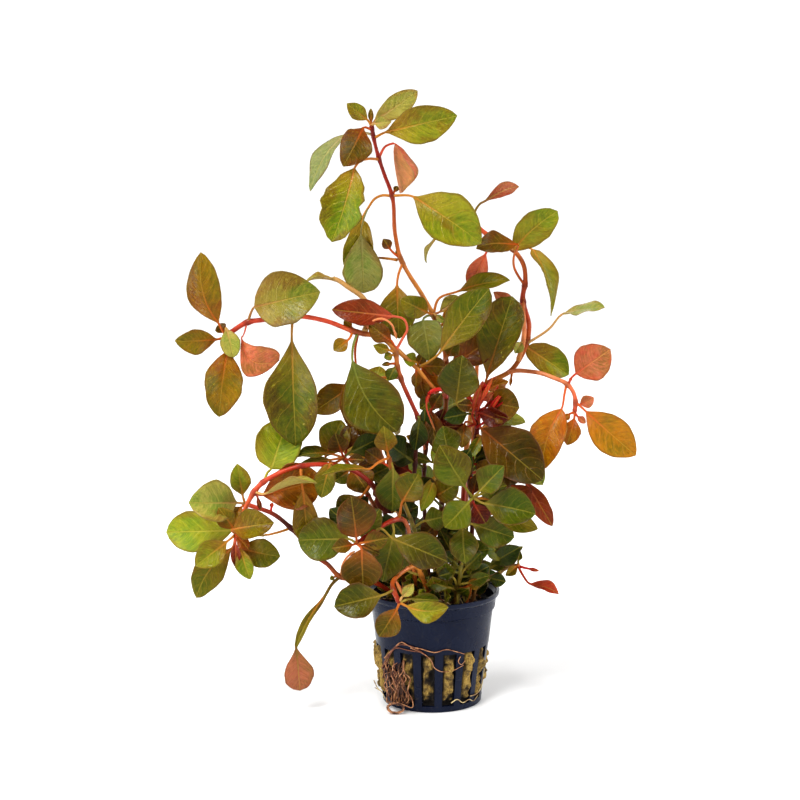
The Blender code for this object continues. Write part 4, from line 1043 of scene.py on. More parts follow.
# %% Small leaves in front and in the middle
SMALL_LEAVES.update(leaves_by_stem("""
front_left_shoot
    olive_dark -13.8 74.6 -28.5, -13.2 78.5 -31, -12.5 82 -33, -5.8 93.6 -36; 12.5
    brown_olive -31.4 64.6 -38.5, -29 64.8 -39.4, -18.6 66.8 -41; 8
    green -27.9 66.9 -37, -29 68 -36, -22 79 -33; 8
    brown -31.6 64.6 -38.5, -33 64 -39, -42 62.5 -41; 6
    bronze -31 64.4 -38.4, -30 63.6 -39, -22 60 -40; 6
    dark_green -28.5 66.5 -37, -33 71 -36, -43 79 -36; 9
    olive_dark -9.6 66 -23, -13 63 -26, -23 60 -29; 9
    dark_green -9.6 66 -23, -11.4 68 -24.4, -17.4 74.6 -25; 6.4
front_low_shoot
    brown_olive -13.6 39.6 -43, -14.6 37.3 -44, -22.2 25.3 -46; 10.5
    olive -13.4 39.6 -43, -11.2 38.4 -44, 6.8 37.7 -47; 9 bend=0.1
    green -13.5 39.8 -43, -9 41.2 -43, 3 40.7 -42; 5.5
    pale -13.6 40.2 -43, -12.6 42 -43.4, -7.8 47.4 -44; 4.5
    stem_salmon -10 54.5 -31, -15.4 49.3 -36, -12.4 42.8 -41; 1.5
    green -4.6 51 -22, -10 53 -25, -17 58 -27; 8
front_right_shoot
    green 17.2 83.8 -24, 19.8 86.3 -27, 30 97 -33; 11.5
    leafy 17 83.4 -24, 15.6 82 -28, 5.4 71.2 -34; 13
    green 14 73 -18, 17 72.6 -20, 34.5 67 -24; 13 blunt=0.6
    green 13 70 -17, 12.8 71.5 -24, 14 56 -31; 12
    olive_mid 16.4 81 -22.4, 26 76.6 -25, 44.5 70.6 -27; 8
    green 17 83.4 -24, 20 85 -24, 31.3 89 -25; 9
    olive 17.2 83.6 -24, 24 83 -24, 42 80 -26; 9
    maroon 17 83 -24, 17.6 81 -24, 22.5 73 -26; 9
    green 9.6 57 -12, 14 61 -14, 24 62 -17; 9
    dark_olive 9.6 57 -12, 9 60 -15, 3.4 70 -18; 7
    dark_green 9 55 -11, 5 60 -16, -2 66 -20; 9
mid_shoot
    olive_mid -18.2 100.7 -28, -18.6 102.8 -29.5, -20.3 113.6 -33; 9
    olive_mid -18.2 100.5 -28, -22.5 98.5 -33, -26.7 95.7 -35, -46 93.6 -41; 6.4 62
    green -18 100 -27.5, -16.4 96.5 -27, -16.5 78 -25; 13
    maroon -15.2 90 -23.4, -22 89 -23, -16.5 77 -24; 9
    dark_green -9.5 75 -17, -14 74 -20, -24 70 -24; 10
    dark_brown -17 96.5 -26, -20 98 -22, -28 103.6 -19; 7
    green -8 71 -15.5, -3 74 -18, 6 76 -22; 10
    dark_green -4 58 -10, -9 60 -14, -18 58 -18; 9
mid_left_shoot
    olive_mid -37 100.4 -19.7, -41.5 98.4 -18, -44.8 100.8 -16.6, -38 116.3 -13; 13
    dark_brown -37.3 100.8 -20, -37.8 102.4 -21, -40.7 110.4 -24; 8.5
    dark_green -37 100.3 -19.5, -34.5 102.8 -17, -21.5 109 -14; 10
    olive_dark -37.2 100.5 -20, -42 102 -22, -57.3 101 -26; 8 62
    dark_brown -31 91.6 -14, -31.6 96 -17, -22.6 99.6 -18; 6
    dark_olive -30 90 -12.6, -27.5 92 -17, -17.5 97 -19; 9
    olive_dark -33 94.6 -16, -35 95 -20, -41 90.6 -22; 7
    maroon -27 84.6 -10.6, -29 82 -15, -35 75 -19; 9
    olive_dark -37.2 100.6 -20, -42 99.7 -23, -55 98.2 -27; 4
    brown -36.5 99.6 -19.4, -34 96 -20, -27 86 -24; 12
    dark_brown -36.6 100 -19.4, -36 103.6 -16, -34 114.6 -13; 8
    dark_brown -36.8 99.8 -19.6, -35.6 99.8 -21, -28.5 99.6 -23; 4.4
    dark_green -24 79 -8, -27 79 -12, -34 83 -16; 9
    dark_green -19 70 -4, -14 76 -8, -6 80 -12; 11
rim_right_shoot
    ember 36 55.2 -6, 38.5 50.6 -7, 41 47.6 -8, 53.3 43.4 -9; 6 -36
    green 31 54.2 -6, 31.3 56.6 -6.5, 32.5 64 -8; 7
    dark_green 23.5 49.8 -7, 25 56 -9, 37 63 -11; 9
    green 28 52.2 -6, 30 57 -9, 23 67 -13; 8
    dark_green 20.5 48 -8, 24 50 -11, 31 48.5 -12; 6
    green 32.5 54.8 -6, 34 60 -7, 38 63.2 -8; 2.6
    green 36.4 55.2 -6, 36.2 57 -7, 37 61 -8; 3
    olive_orange 36.4 55.2 -6, 36 55.3 -8, 31 51 -10; 4
    crimson 36.8 54.8 -6, 40 54 -7, 44.9 53 -8; 1.6
    green 23 49 -5, 24 54 -5, 32 58 -7; 6
low_shoot
    dark_green 11.6 50.5 -16.5, 16 51 -17, 24 55 -15; 6
    dark_green 12 52 -17, 9 52.5 -19, 2.6 50.6 -22; 5.5
    olive_orange 10.6 45.5 -14.5, 15 46.5 -17, 20.5 49 -19; 5
    dark_green 12.4 55.5 -18.5, 15 58 -18, 22 59.5 -17; 6
    green 10.6 46 -14, 9 50 -18, 2 57.5 -21; 7
    deep_green 11.6 50.5 -16.5, 14 54 -19, 20.5 60.5 -21; 7
    green 12.4 55.5 -18.8, 12.8 57 -20, 12 66 -22; 7
    deep_green 10.4 45 -14, 7 46 -18, -2 49 -22; 6
    green 10.8 47 -15, 15 48 -18, 24 51 -20; 6
    dark_green 12 53 -17.5, 9 57 -19, 4 61 -20; 6
"""))
count_small_leaves()

# %% [markdown]
# On the right a high stem forks, and in the heart of the plant two upright shoots end in crimson young
# leaves that are still folded. Those are drawn as very narrow blades.

# %% Small leaves on the right and in the heart
SMALL_LEAVES.update(leaves_by_stem("""
right_high_stem
    brown 38.9 173 10, 36 177.2 9, 34.3 181.4 5, 34.6 186 1, 36 190 -1, 18.6 188.6 -5; 11.5 47
    olive 40.6 150 10, 39.8 147 12, 57.5 135.3 14; 12.4 neck=0.42
    salmon 29 191.4 7.7, 25 190 7, 22.7 186.5 7, 15.5 171.5 8; 8.5
    trailing 17.2 199.8 7, 18.2 204.3 7, 20.5 207.4 7, 36.4 214.6 5; 6.5 -50 0.04 peak=0.66
    olive 17.6 199.7 7, 8 197 7, 1.5 193.5 6, -2.7 182.5 5; 8 78
    salmon 38.3 166.2 10, 35 163 8, 26 170 5; 6
    pale 39.8 149.7 9.6, 37.5 149 7.5, 35 144.5 5; 5 0 0.2
    stem_orange 34 138 10, 33.4 135 9, 32.8 130.6 8; 1.4
    dark_green 13.8 92 8.6, 18 96 4, 29 103 0; 12
    dark_green 14 96 9, 10 100 4, 1 107 -2; 11
    olive_dark 12.6 74 7, 17 78 3, 27 83 0; 10
right_side_stem
    orange 59.9 120 -1, 59.8 117.3 -2, 56.8 105.8 -5; 8
    salmon 59.9 119.6 -1, 61 118 -2, 64.5 115 -3; 3
    salmon 60.6 123 -1, 62 122.8 -2, 68 125.6 -3; 5.6
    orange 59.9 119.5 -1, 58 119 -2, 55.5 116.5 -3; 3
    crimson 57.5 130.6 0, 57.8 132.6 0, 58.6 134.2 0; 1.4
upper_centre_shoot
    brown_olive -6.2 138 -6, -4.5 139 -5, 6 138.6 -3; 8
    brown_olive -6.2 138 -6, -6 139.4 -7, -3.2 145 -7.4; 4.6
    dark_brown -2.6 116 -2.6, -0.6 121 -6, 1.6 104 -9; 8
    maroon -2.9 106 -1.4, 1 110 -4, 5 121 -6; 7
    brown -6.2 137.6 -6, -6.6 137 -8, -6.8 130 -9; 4.6
    olive -6.2 137.5 -6, -6.4 140.5 -8, -12 142.5 -10; 6
    brown -6.2 137.5 -6, -5.8 136 -7, -2.4 124.5 -5; 6.4 20 0.1
    orange_brown -6 137.2 -6, -4.5 138.5 -5, 3 128 -4; 7
    dark_green -2.6 112 -2, -4 108 -6, -3 121 -9; 7.5
    dark_brown -2.5 118 -3, 0 121 -8, 4 127.5 -12; 6
    orange -3 104 -1.5, -4.8 107 -9, -10.6 109.6 -12; 4.4
    dark_green -3.2 96 -0.5, -7 99 -5, -17 105 -10; 11
    dark_green -3.3 88 0, -8 86 -6, -18 80 -12; 12
    olive_dark -3.4 84 0, 1 84 -6, 11 90 -12; 12
right_middle_shoot
    brown 18.9 124.6 -3, 23 124.6 -6, 36.6 121.4 -10; 15 blunt=0.6 neck=0.7
    red 16.2 94 0, 28 96 -2, 39 91 -6, 50.6 71.8 -10; 8
    red 16.2 90 0, 24 92 -3, 31 89 -6, 43.5 79.5 -9; 9
    orange_brown 19.6 124.6 -3, 22 129 -4, 32 132.6 -5; 5
    wine 19 121 -3, 23 126 -2, 31 131.5 -1; 4.4 25 0.12
    maroon 19 115 -2.4, 22 121 -8, 32 117 -12; 9 20
    scarlet 19 124 -3, 22 130 -3, 27 134.4 -3; 2.4
    crimson 19 119 -3, 17 124 -8, 13.6 128.5 -9; 2
    crimson 18.6 116 -2.5, 22 121 -7, 28 131 -8; 2.4 30
    crimson 18.5 113 -2.4, 23 117 -8, 30 128 -10; 2.2 -30
    ember 18.5 114 -2.4, 17 119 -7, 20.5 131 -9; 3
    crimson 18.8 118 -2.8, 25 120 -8, 32.5 125 -9; 2.4 40
    scarlet 18.7 117 -2.6, 20 123 -8, 25.5 134 -9; 1.8
    maroon 18.6 117 -2.6, 19.5 119.5 -8, 31 115.5 -11; 8
    dark_brown 16.6 98 0, 22 97 -4, 36 90 -5; 11
    brown 16 92 0, 19 92 -4, 26 99.5 -6; 8
    maroon 19 115 -2.4, 15 113.6 -5, 3 113.6 -8; 5
    dark_brown 15.8 85.6 0, 17 85 -2, 19.4 94 -5; 5.6
    grey_green 19 118 -2, 24 117.5 -3, 39.3 115.6 -4; 9 -50
    grey_green 17.5 104 -1, 30 113 0, 46.5 89 -4; 14
    olive 18.3 109.7 -2, 20.6 109.7 -4, 15.2 100.1 -9; 5
    brown 18.9 114 -2, 13.7 115 -6, 12.5 104.7 -10; 7
    dark_green 19 117.5 -2, 15 119 -6, 5 117 -10; 8
    crimson 19 123 -3, 20 128 -4, 21.5 132.5 -5; 4.4 30 0.14
    crimson 19 120 -3, 24 123 -3, 28.5 126.5 -4; 5 -40 0.14
    red 19 116 -2, 24 121 -6, 33 126 -9; 6 35
    salmon 19 121 -3, 22 125 -7, 26.6 128 -8; 3.4 20
    dark_green 16 97 0, 20 101 0, 30 105 3; 11
    dark_brown 19 120 -3, 17 122.5 -8, 11 123 -12; 5
"""))
count_small_leaves()

# %% [markdown]
# The photograph doesn't show the back. Three simple shoots stand there, so that the plant is round and
# no bare stems are seen from behind. Their leaves are of middle size and face outwards.

# %% Small leaves at the back
SMALL_LEAVES.update(leaves_by_stem("""
back_left_shoot
    olive -25 121.5 27, -24.6 124 29, -22 139 34; 13 -20
    bright -25 121 27, -27.5 122 30, -36 128 47; 13 20
    olive -24.5 120 26.5, -22 119 31, -13 114 48; 12 -20
    olive_orange -21 100 22, -25 99 23, -37 106 38; 11 30
    green -14 78 15, -17 78 20, -27 80 38; 12 25
    olive -19 92 19.5, -15 93 24, -4 96 36; 11 -20
    dark_green -12 70 13, -8 70 17, 1 72 26; 10 -20
    brown -25 121.7 27, -25 123 27, -26 129 26; 4
back_right_shoot
    olive 19 141.5 30, 17.6 145 31, 12 160 38; 14 20
    brown 19 141 30, 22 142.5 33, 33 152 46; 14 -20
    olive 18.4 130 28, 22 128 33, 31 119 50; 13 -20
    green 18.3 126 27.5, 14 125 32, 3 120 48; 13 20
    olive 16 98 21, 19.5 98 25, 32 101 36; 12 -25
    green 14 82 18, 10 84 22, 0 88 32; 11 20
    olive_dark 17.4 112 24.6, 21 113 28, 33 116 38; 12 -20
    orange 19 141.8 30, 19.3 143.5 30, 20.5 149 30; 4
back_low_shoot
    olive 8 89.5 32.6, 12 92 35, 25 100 50; 13 -20
    green 7.6 88 32, 3 88 35, -8 92 51; 12 20
    olive 6 78 26.5, 11 77 31, 22 74 46; 13 -20
    bright 7.9 89.8 33, 7 94 33, 3 108 37; 12
    dark_green 3.4 62 17, 8 63 21, 18 64 30; 11 -20
    dark_green 4 66 19.5, -1 68 24, -11 70 33; 11 20
"""))
count_small_leaves()

# %% [markdown]
# ## Growing the shoots
# A shoot is one piece: its stem and all the small leaves on it. It takes the place of the plain stem,
# so that is hidden, but stays in the physics. In the plain model a stem ends just above the wool, so
# that the two don't overlap. Here it reaches into the wool, which closes the gap, unless it forks off
# higher up. A node is wherever the stalk of a leaf starts on the stem.

# %% Shoots
FOOT_DEPTH = 3.0
WOOL_TOP = 43.0
LOWEST_FORK = 60
NODE_FINDS = 3
BUD_WIDTH = 3


def planted(stem):
    """The stem's points, with its foot carried down into the wool."""
    low, following = seen(stem.points[0]), seen(stem.points[1])
    if low.z > LOWEST_FORK:
        return stem.points
    step = (low - following).normalized()
    foot = low + step * (WOOL_TOP - FOOT_DEPTH - low.z) / step.z
    return [as_seen(foot), *stem.points]


def nodes_on(stem, leaves):
    """Where the stalks of all but the smallest leaves start on the stem."""
    path = smooth_path([seen(point) for point in stem.points], STEM_STEP)
    starts = [seen(leaf.stalk[0]) for leaf in leaves if leaf.width > BUD_WIDTH]
    return [start for start in starts if min((point - start).length for point in path) < NODE_FINDS]


ALL_LEAVES = [*LEAVES.values(), *(leaf for leaves in SMALL_LEAVES.values() for leaf in leaves)]
for name, stem in STEMS.items():
    stem = stem._replace(points=planted(stem))
    nodes = nodes_on(stem, ALL_LEAVES)
    skin = Skin()
    grow_stem(skin, stem, nodes)
    if name in OFFSHOOTS:
        grow_stem(skin, OFFSHOOTS[name], [])
    for leaf in SMALL_LEAVES[name]:
        grow_leaf(skin, leaf)
    shoot = skin.piece(name + "_grown", PLANT_FINISHES)
    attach(shoot, "root")
    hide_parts(name)
    print(shoot.name, len(shoot.data.polygons), "faces,", len(nodes), "nodes")

# %% [markdown]
# Each large leaf takes the place of the plain one of the same name. It has the same three finishes as
# the shoots: upper side, underside and stem.

# %% Large leaves take the place of the plain ones
for name, leaf in LEAVES.items():
    skin = Skin()
    grow_leaf(skin, leaf)
    grown = skin.piece(name + "_grown", PLANT_FINISHES)
    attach(grown, "root")
    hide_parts(name)
print("large leaves grown:", len(LEAVES))

# %% [markdown]
# ## The pot
# The pot is one thin moulded wall with a ring of slots in its lower half. Its outer skin is laid as a
# grid of faces around the axis, the faces where a slot is are left out, and a Solidify modifier turns
# what remains into a wall. That gives every slot clean sides without a boolean cut. A Bevel modifier
# then rounds the edges as a mould does, because only rounded edges catch the light.

# %% Pot sizes, as in the plain model
POT_HEIGHT, RIM_RADIUS, COLLAR_RADIUS, COLLAR_HEIGHT = 47.0, 28.0, 26.6, 7.5
WALL_TOP_RADIUS, FOOT_RADIUS, WALL, FLOOR_THICKNESS = 25.4, 20.5, 1.2, 1.6
SLOTS, SLOT_WIDTH, SLOT_FROM, SLOT_TO = 16, 5.4, 2.4, 25.0
SLOT_TURN = math.radians(6)
SLOT_CORNER = 0.9
UNDER_COLLAR = POT_HEIGHT - COLLAR_HEIGHT


def wall_radius(height):
    return FOOT_RADIUS + (WALL_TOP_RADIUS - FOOT_RADIUS) * height / UNDER_COLLAR


def round_axis(radius, angle, height):
    """A point at an angle round the pot's axis, in millimetres."""
    return Vector((radius * math.cos(angle), radius * math.sin(angle), height))


print("foot to rim:", POT_HEIGHT, "mm")

# %% [markdown]
# The plastic is dark blue with a soft gloss. Scuffs make the gloss uneven, and wet dust has dried on
# it in smears, more of them near the foot. The smears are noise with a threshold, and the height
# above the floor decides how much of them shows.

# %% Moulded plastic
def plastic_finish():
    made, tree, shader, place = finish("moulded_plastic", 0.34, specular=0.16)
    cloud = noisy(tree, place, 45.0, 5.0, 0.6)
    navy = mix(tree, step_up(tree, cloud, 0.3, 0.7), srgb(10, 17, 38), srgb(17, 25, 46))
    low = step_down(tree, add(tree, "SeparateXYZ", {0: place})[2], 0.0, 0.012)
    dirt = noisy(tree, place, 320.0, 6.0, 0.7)
    smear = times(tree, step_up(tree, dirt, 0.55, 0.75), calc(tree, "MULTIPLY_ADD", low, 0.5, 0.22))
    tree.links.new(mix(tree, smear, navy, srgb(70, 64, 52)), shader.inputs["Base Color"])
    scuff = noisy(tree, place, 130.0, 6.0, distortion=0.8)
    gloss = calc(tree, "MULTIPLY_ADD", step_up(tree, scuff, 0.4, 0.75), 0.18, 0.22)
    tree.links.new(gloss, shader.inputs["Roughness"])
    emboss(tree, shader, calc(tree, "MULTIPLY_ADD", dirt, 0.5, scuff), 0.00006)
    return made


PLASTIC = plastic_finish()
print("pot finish:", PLASTIC.name)

# %% [markdown]
# The grid has rows where the profile turns and where a slot begins or ends, and columns at the slots'
# edges, at their corners and on the ribs between them. Everything else follows from that: the collar
# and the rim are the last rows of the profile, and the foot is closed with a shallow cone.

# %% The pot's wall, floor and rim
SLOT_ROWS, UPPER_ROWS = 8, 6
FOOT_BEVEL = 0.93
FOOT_RISE = 0.6
MOULD_RADIUS = 0.28


def pot_profile():
    """(radius, height) of the outer skin from the foot's edge up to the rim."""
    slots = [SLOT_FROM, SLOT_FROM + SLOT_CORNER, SLOT_TO - SLOT_CORNER, SLOT_TO]
    straight = SLOT_TO - SLOT_FROM - 2 * SLOT_CORNER
    wall = [SLOT_FROM + SLOT_CORNER + straight * k / SLOT_ROWS for k in range(1, SLOT_ROWS)]
    upper = [SLOT_TO + (UNDER_COLLAR - SLOT_TO) * k / UPPER_ROWS for k in range(1, UPPER_ROWS)]
    heights = sorted([0.0, 1.0, *slots, *wall, *upper, UNDER_COLLAR])
    return [(wall_radius(height), height) for height in heights] + [
        (COLLAR_RADIUS - 0.45, UNDER_COLLAR + 0.5), (COLLAR_RADIUS - 0.3, UNDER_COLLAR + 1.4),
        (COLLAR_RADIUS - 0.1, POT_HEIGHT - 4.2), (COLLAR_RADIUS, POT_HEIGHT - 2.7),
        (RIM_RADIUS - 0.45, POT_HEIGHT - 1.9), (RIM_RADIUS - 0.02, POT_HEIGHT - 1.2),
        (RIM_RADIUS - 0.02, POT_HEIGHT - 0.02)]


def pot_columns():
    """(angle, whether it lies in a slot) of each of the grid's columns."""
    half = SLOT_WIDTH / 2 / wall_radius(SLOT_TO / 2)
    corner = SLOT_CORNER / wall_radius(SLOT_TO / 2)
    rib = math.pi / SLOTS - half
    offsets = [-half - rib, -half - rib / 2, -half, -half + corner, 0, half - corner, half, half + rib / 2]
    columns = []
    for index in range(SLOTS):
        middle = 2 * math.pi * (index + 0.5) / SLOTS - math.pi / 2 + SLOT_TURN
        columns += [(middle + offset, abs(offset) < half - 1e-6) for offset in offsets]
    return columns


def join_rings(bm, near, far, left_out=()):
    """Faces between two rings of vertices, except for the ones that are left out."""
    for index in range(len(near)):
        following = (index + 1) % len(near)
        if index not in left_out:
            bm.faces.new((near[index], near[following], far[following], far[index]))


def pot_wall(pot):
    """The modifiers that give the pot's skin its thickness and its rounded edges."""
    wall = pot.modifiers.new("wall", "SOLIDIFY")
    wall.thickness = WALL * MM
    wall.offset = -1
    wall.use_even_offset = True
    rounded = pot.modifiers.new("mould_radius", "BEVEL")
    rounded.width = MOULD_RADIUS * MM
    rounded.segments = 3
    rounded.limit_method = "ANGLE"
    rounded.angle_limit = math.radians(40)
    rounded.harden_normals = True


def make_pot():
    columns, profile = pot_columns(), pot_profile()
    count = len(columns)
    opened = {index for index in range(count) if columns[index][1] or columns[(index + 1) % count][1]}
    bm = bmesh.new()
    rows = [[bm.verts.new(round_axis(radius, angle, height) * MM) for angle, _ in columns]
            for radius, height in profile]
    for (_, lower), (_, upper), near, far in zip(profile, profile[1:], rows, rows[1:]):
        join_rings(bm, near, far, opened if SLOT_FROM < (lower + upper) / 2 < SLOT_TO else ())
    foot = [bm.verts.new((vert.co.x * FOOT_BEVEL, vert.co.y * FOOT_BEVEL, 0)) for vert in rows[0]]
    join_rings(bm, foot, rows[0])
    centre = bm.verts.new((0, 0, FOOT_RISE * MM))
    for index in range(count):
        bm.faces.new((centre, foot[(index + 1) % count], foot[index]))
    loose = [vert for vert in bm.verts if not vert.link_faces]
    bmesh.ops.delete(bm, geom=loose, context="VERTS")
    bmesh.ops.recalc_face_normals(bm, faces=bm.faces)
    pot = from_bmesh("slotted_pot", bm, PLASTIC)
    pot.data.shade_smooth()
    pot_wall(pot)
    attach(pot, "root")
    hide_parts("net_pot")
    return pot


print("pot:", len(make_pot().data.polygons), "faces before its wall is made")

# %% [markdown]
# ## The mineral wool
# Wool fills the pot and swells out through the slots, so that each slot shows an irregular lump with
# dark gaps beside it. Its finish is fibrous straw over dark soaked wool. The mesh tells it where the
# wool lies back in a slot, and there painted shade turns it nearly black. On top it is dark and peaty.

# %% Wool finish
def wool_finish():
    made, tree, shader, place = finish("wet_mineral_wool", 0.85)
    stretch = add(tree, "Mapping", {"Vector": place, "Scale": (1.0, 1.0, 0.35)})[0]
    fibre = noisy(tree, stretch, 1500.0, 6.0, 0.75, 1.5)
    lump = noisy(tree, place, 210.0, 5.0, 0.65)
    straw = mix(tree, step_up(tree, fibre, 0.35, 0.65), srgb(108, 78, 20), srgb(204, 172, 92))
    colour = mix(tree, step_up(tree, lump, 0.34, 0.6), srgb(48, 32, 10), straw)
    # Painted shade: the wool turns nearly black where it lies back in a slot, and fully so behind the wall.
    colour = mix(tree, known(tree, "slot_shade", "Fac"), colour, srgb(22, 15, 8))
    peat = mix(tree, step_up(tree, fibre, 0.45, 0.7), srgb(18, 14, 8), srgb(64, 48, 26))
    height = add(tree, "SeparateXYZ", {0: place})[2]
    colour = mix(tree, step_up(tree, height, 0.034, 0.038), colour, peat)
    tree.links.new(colour, shader.inputs["Base Color"])
    emboss(tree, shader, calc(tree, "MULTIPLY_ADD", lump, 0.8, fibre), 0.0008)
    return made


WOOL = wool_finish()
print("wool finish:", WOOL.name)

# %% [markdown]
# A turned surface can make the plug. Its radius is pushed out where a slot is, by an amount that solid
# noise decides, and stays inside the wall behind the ribs. On the left the wool bulges further out
# than elsewhere. The top is a rough disc a little below the rim.

# %% The wool plug
WOOL_COLUMNS, WOOL_ROWS = 256, 60
WOOL_TOP_RINGS = (0.93, 0.8, 0.65, 0.5, 0.35, 0.2, 0.08)
WOOL_SWELL, WOOL_MOSTLY_OUT = 2.8, 0.18
WOOL_BEHIND_WALL = 0.35
WOOL_LUMPS = ((1.0, 0.16), (0.5, 0.42), (0.25, 1.1))
FOOT_HOLLOW = 1.1
LEFT_BULGE, LEFT_BULGE_SHARPNESS = 2.2, 12
MOST_BACK, MOST_OUT = -1.1, WALL + 2.1


def within(value, low, high):
    return max(low, min(high, value))


def soft_box(value, half, edge):
    """1 inside a stretch, 0 outside it, with a soft edge."""
    share = within((half - abs(value)) / edge, 0.0, 1.0)
    return share * share * (3 - 2 * share)


def wool_reach(angle, height):
    """How far the wool stands out of the wall's inner side, and how much painted shade it gets there."""
    turn = (angle + math.pi / 2 - SLOT_TURN) / (2 * math.pi) * SLOTS % 1 - 0.5
    off_slot = turn * 2 * math.pi / SLOTS * wall_radius(height)
    window = soft_box(off_slot, SLOT_WIDTH / 2 - 0.1, 0.9)
    window *= soft_box(height - (SLOT_FROM + SLOT_TO) / 2, (SLOT_TO - SLOT_FROM) / 2 - 0.1, 1.5)
    at = round_axis(22, angle, height)
    lump = sum(size * noise.noise(at * scale) for size, scale in WOOL_LUMPS)
    low = FOOT_HOLLOW * soft_box(height - SLOT_FROM, 3.0, 2.5)
    left = max(0.0, -math.cos(angle)) ** LEFT_BULGE_SHARPNESS
    reach = WALL * 0.6 + WOOL_SWELL * (lump + WOOL_MOSTLY_OUT - low) + LEFT_BULGE * left
    # Painted shade, strongest where the wool lies furthest back in its slot.
    slot_shade = within(1.1 - 1.1 * reach * window, 0.0, 1.0)
    return -WOOL_BEHIND_WALL + window * within(reach, MOST_BACK, MOST_OUT), slot_shade


def make_wool():
    bm = bmesh.new()
    slot_shade_of = bm.verts.layers.float.new("slot_shade")
    angles = [2 * math.pi * column / WOOL_COLUMNS for column in range(WOOL_COLUMNS)]
    rows = []
    for row in range(WOOL_ROWS + 1):
        height = FLOOR_THICKNESS + 0.3 + (WOOL_TOP - 1.0 - FLOOR_THICKNESS) * row / WOOL_ROWS
        inner = wall_radius(min(height, UNDER_COLLAR)) - WALL
        ring = []
        for angle in angles:
            reach, slot_shade = wool_reach(angle, height)
            vert = bm.verts.new(round_axis(inner + reach, angle, height) * MM)
            # Each point keeps its painted shade for the finish.
            vert[slot_shade_of] = slot_shade
            ring.append(vert)
        rows.append(ring)
    edge = wall_radius(UNDER_COLLAR) - WALL - WOOL_BEHIND_WALL
    for share in WOOL_TOP_RINGS:
        ring = []
        for angle in angles:
            at = round_axis(edge * share, angle, 0)
            rough = 1.1 * noise.noise(at * 0.3) + 0.7 * noise.noise(at * 0.9)
            at.z = WOOL_TOP - 0.9 + rough + 1.2 * (1 - share)
            ring.append(bm.verts.new(at * MM))
        rows.append(ring)
    for near, far in zip(rows, rows[1:]):
        join_rings(bm, near, far)
    bm.faces.new(rows[-1])
    bm.faces.new(list(reversed(rows[0])))
    bmesh.ops.recalc_face_normals(bm, faces=bm.faces)
    wool = from_bmesh("wool_plug", bm, WOOL)
    wool.data.shade_smooth()
    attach(wool, "root")
    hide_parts("mineral_wool_plug")
    return wool


print("wool:", len(make_wool().data.polygons), "faces")

# %% [markdown]
# ## Roots
# Fine brown roots have found their way out of the front left slots. They hang over the wall, cross
# each other and end in a knot on the floor, and a few pale ones run right across the pot. Each root
# is a thin tube along its own wandering path, tan, brown or pale, and darker in patches.

# %% Root finish and one root
ROOT_SIDES, ROOT_STEP = 6, 0.9
ROOT_TAPER = 0.45
ROOT_HUES = {
    "tan": srgb(178, 128, 88), "brown": srgb(116, 66, 40),
    "dark": srgb(74, 44, 28), "pale": srgb(196, 176, 128)}


def root_finish():
    made, tree, shader, place = finish("fine_roots", 0.6)
    tint = known(tree, "tint", "Color")
    cloud = noisy(tree, place, 420.0, 4.0)
    patched = mix(tree, step_up(tree, cloud, 0.4, 0.65), tint, dyed(tree, tint, 0.42, 0.3, 0.24))
    tree.links.new(patched, shader.inputs["Base Color"])
    emboss(tree, shader, cloud, 0.0001)
    return made


def grow_root(skin, points, radius, hue):
    path = smooth_path(points, ROOT_STEP)
    tint = ROOT_HUES[hue]
    rings, facts = [], []
    for index, (point, (across, up)) in enumerate(zip(path, around_tube(path))):
        share = index / (len(path) - 1)
        out = radius * (1 - ROOT_TAPER * share) * (1 + 0.25 * noise.noise(point * 1.3))
        rings.append(round_ring(point, across, up, out, ROOT_SIDES))
        facts.append([((0, 0, out), tint, tint)] * ROOT_SIDES)
    skin.loft(rings, facts, lambda index: 0)


ROOT_FINISH = root_finish()
print("root hues:", ", ".join(ROOT_HUES))

# %% [markdown]
# Most roots of the tangle are drawn by a seeded random source, so that they are the same in each run:
# each starts in a slot, sinks along the wall with some drift and curls up in the knot. The few that
# stand out in the photograph are placed one by one, as points that the eye sees on the wall. A row
# holds the hue, the radius and the points of such a root.

# %% The root tangle and the long pale roots
TANGLE_SEED, TANGLE_ROOTS = 11, 54
TANGLE_ANGLES = (math.radians(-143), math.radians(-119))
KNOT = Vector((-15.2, -21.0, 2.6))
KNOT_RADIUS, KNOT_FLATTENED, KNOT_TURN = 3.6, 0.62, 0.95
KNOT_FRONT = -1.4
ON_WALL_CLEAR = 0.5
LONG_ROOTS = """
tan 0.3 -20 16.4, -16.2 20.2, -12.3 22.9, -9.7 21.4, -4.7 20.2, 1.4 18.7, 6 19.9, 9.9 19.1, 13.7 18
tan 0.24 -9 20.6, -5.5 19.1, -2.8 17.6, -0.1 14.9, 0.7 12.6, 3.7 10.7, 8.7 11.1, 13.3 13.4
brown 0.4 -21 12, -18.5 17, -13 22, -8 21, -4 18.5, -1.6 16.6
brown 0.34 -20.6 8, -19 14, -14.6 20.6, -10 19.6, -5 18.8
pale 0.3 16 0.4, 18.4 1.2, 20.6 4, 21.4 8, 22 12
pale 0.26 8 -2.6, 10.4 -1, 13 -2.4, 15.4 -1, 17.4 -1.6, 19.4 1
tan 0.2 12 17, 11 15, 12.4 13.6, 14 15.4
pale 0.24 -24.4 7, -23 4, -21 2, -19.6 -1
pale 0.2 -24 4, -21.6 2.6, -19 3.6, -17 5.4
"""


def on_wall(across, up):
    """The point that the eye sees at (across, up) just off the pot's outer wall."""
    back = -FOOT_RADIUS
    for _ in range(6):
        point = seen((across, up, back))
        radius = wall_radius(within(point.z, 0, UNDER_COLLAR)) + ON_WALL_CLEAR
        back = -math.sqrt(max(1.0, radius**2 - point.x**2))
    point = seen((across, up, back))
    return Vector((point.x, point.y, max(point.z, 0.3)))


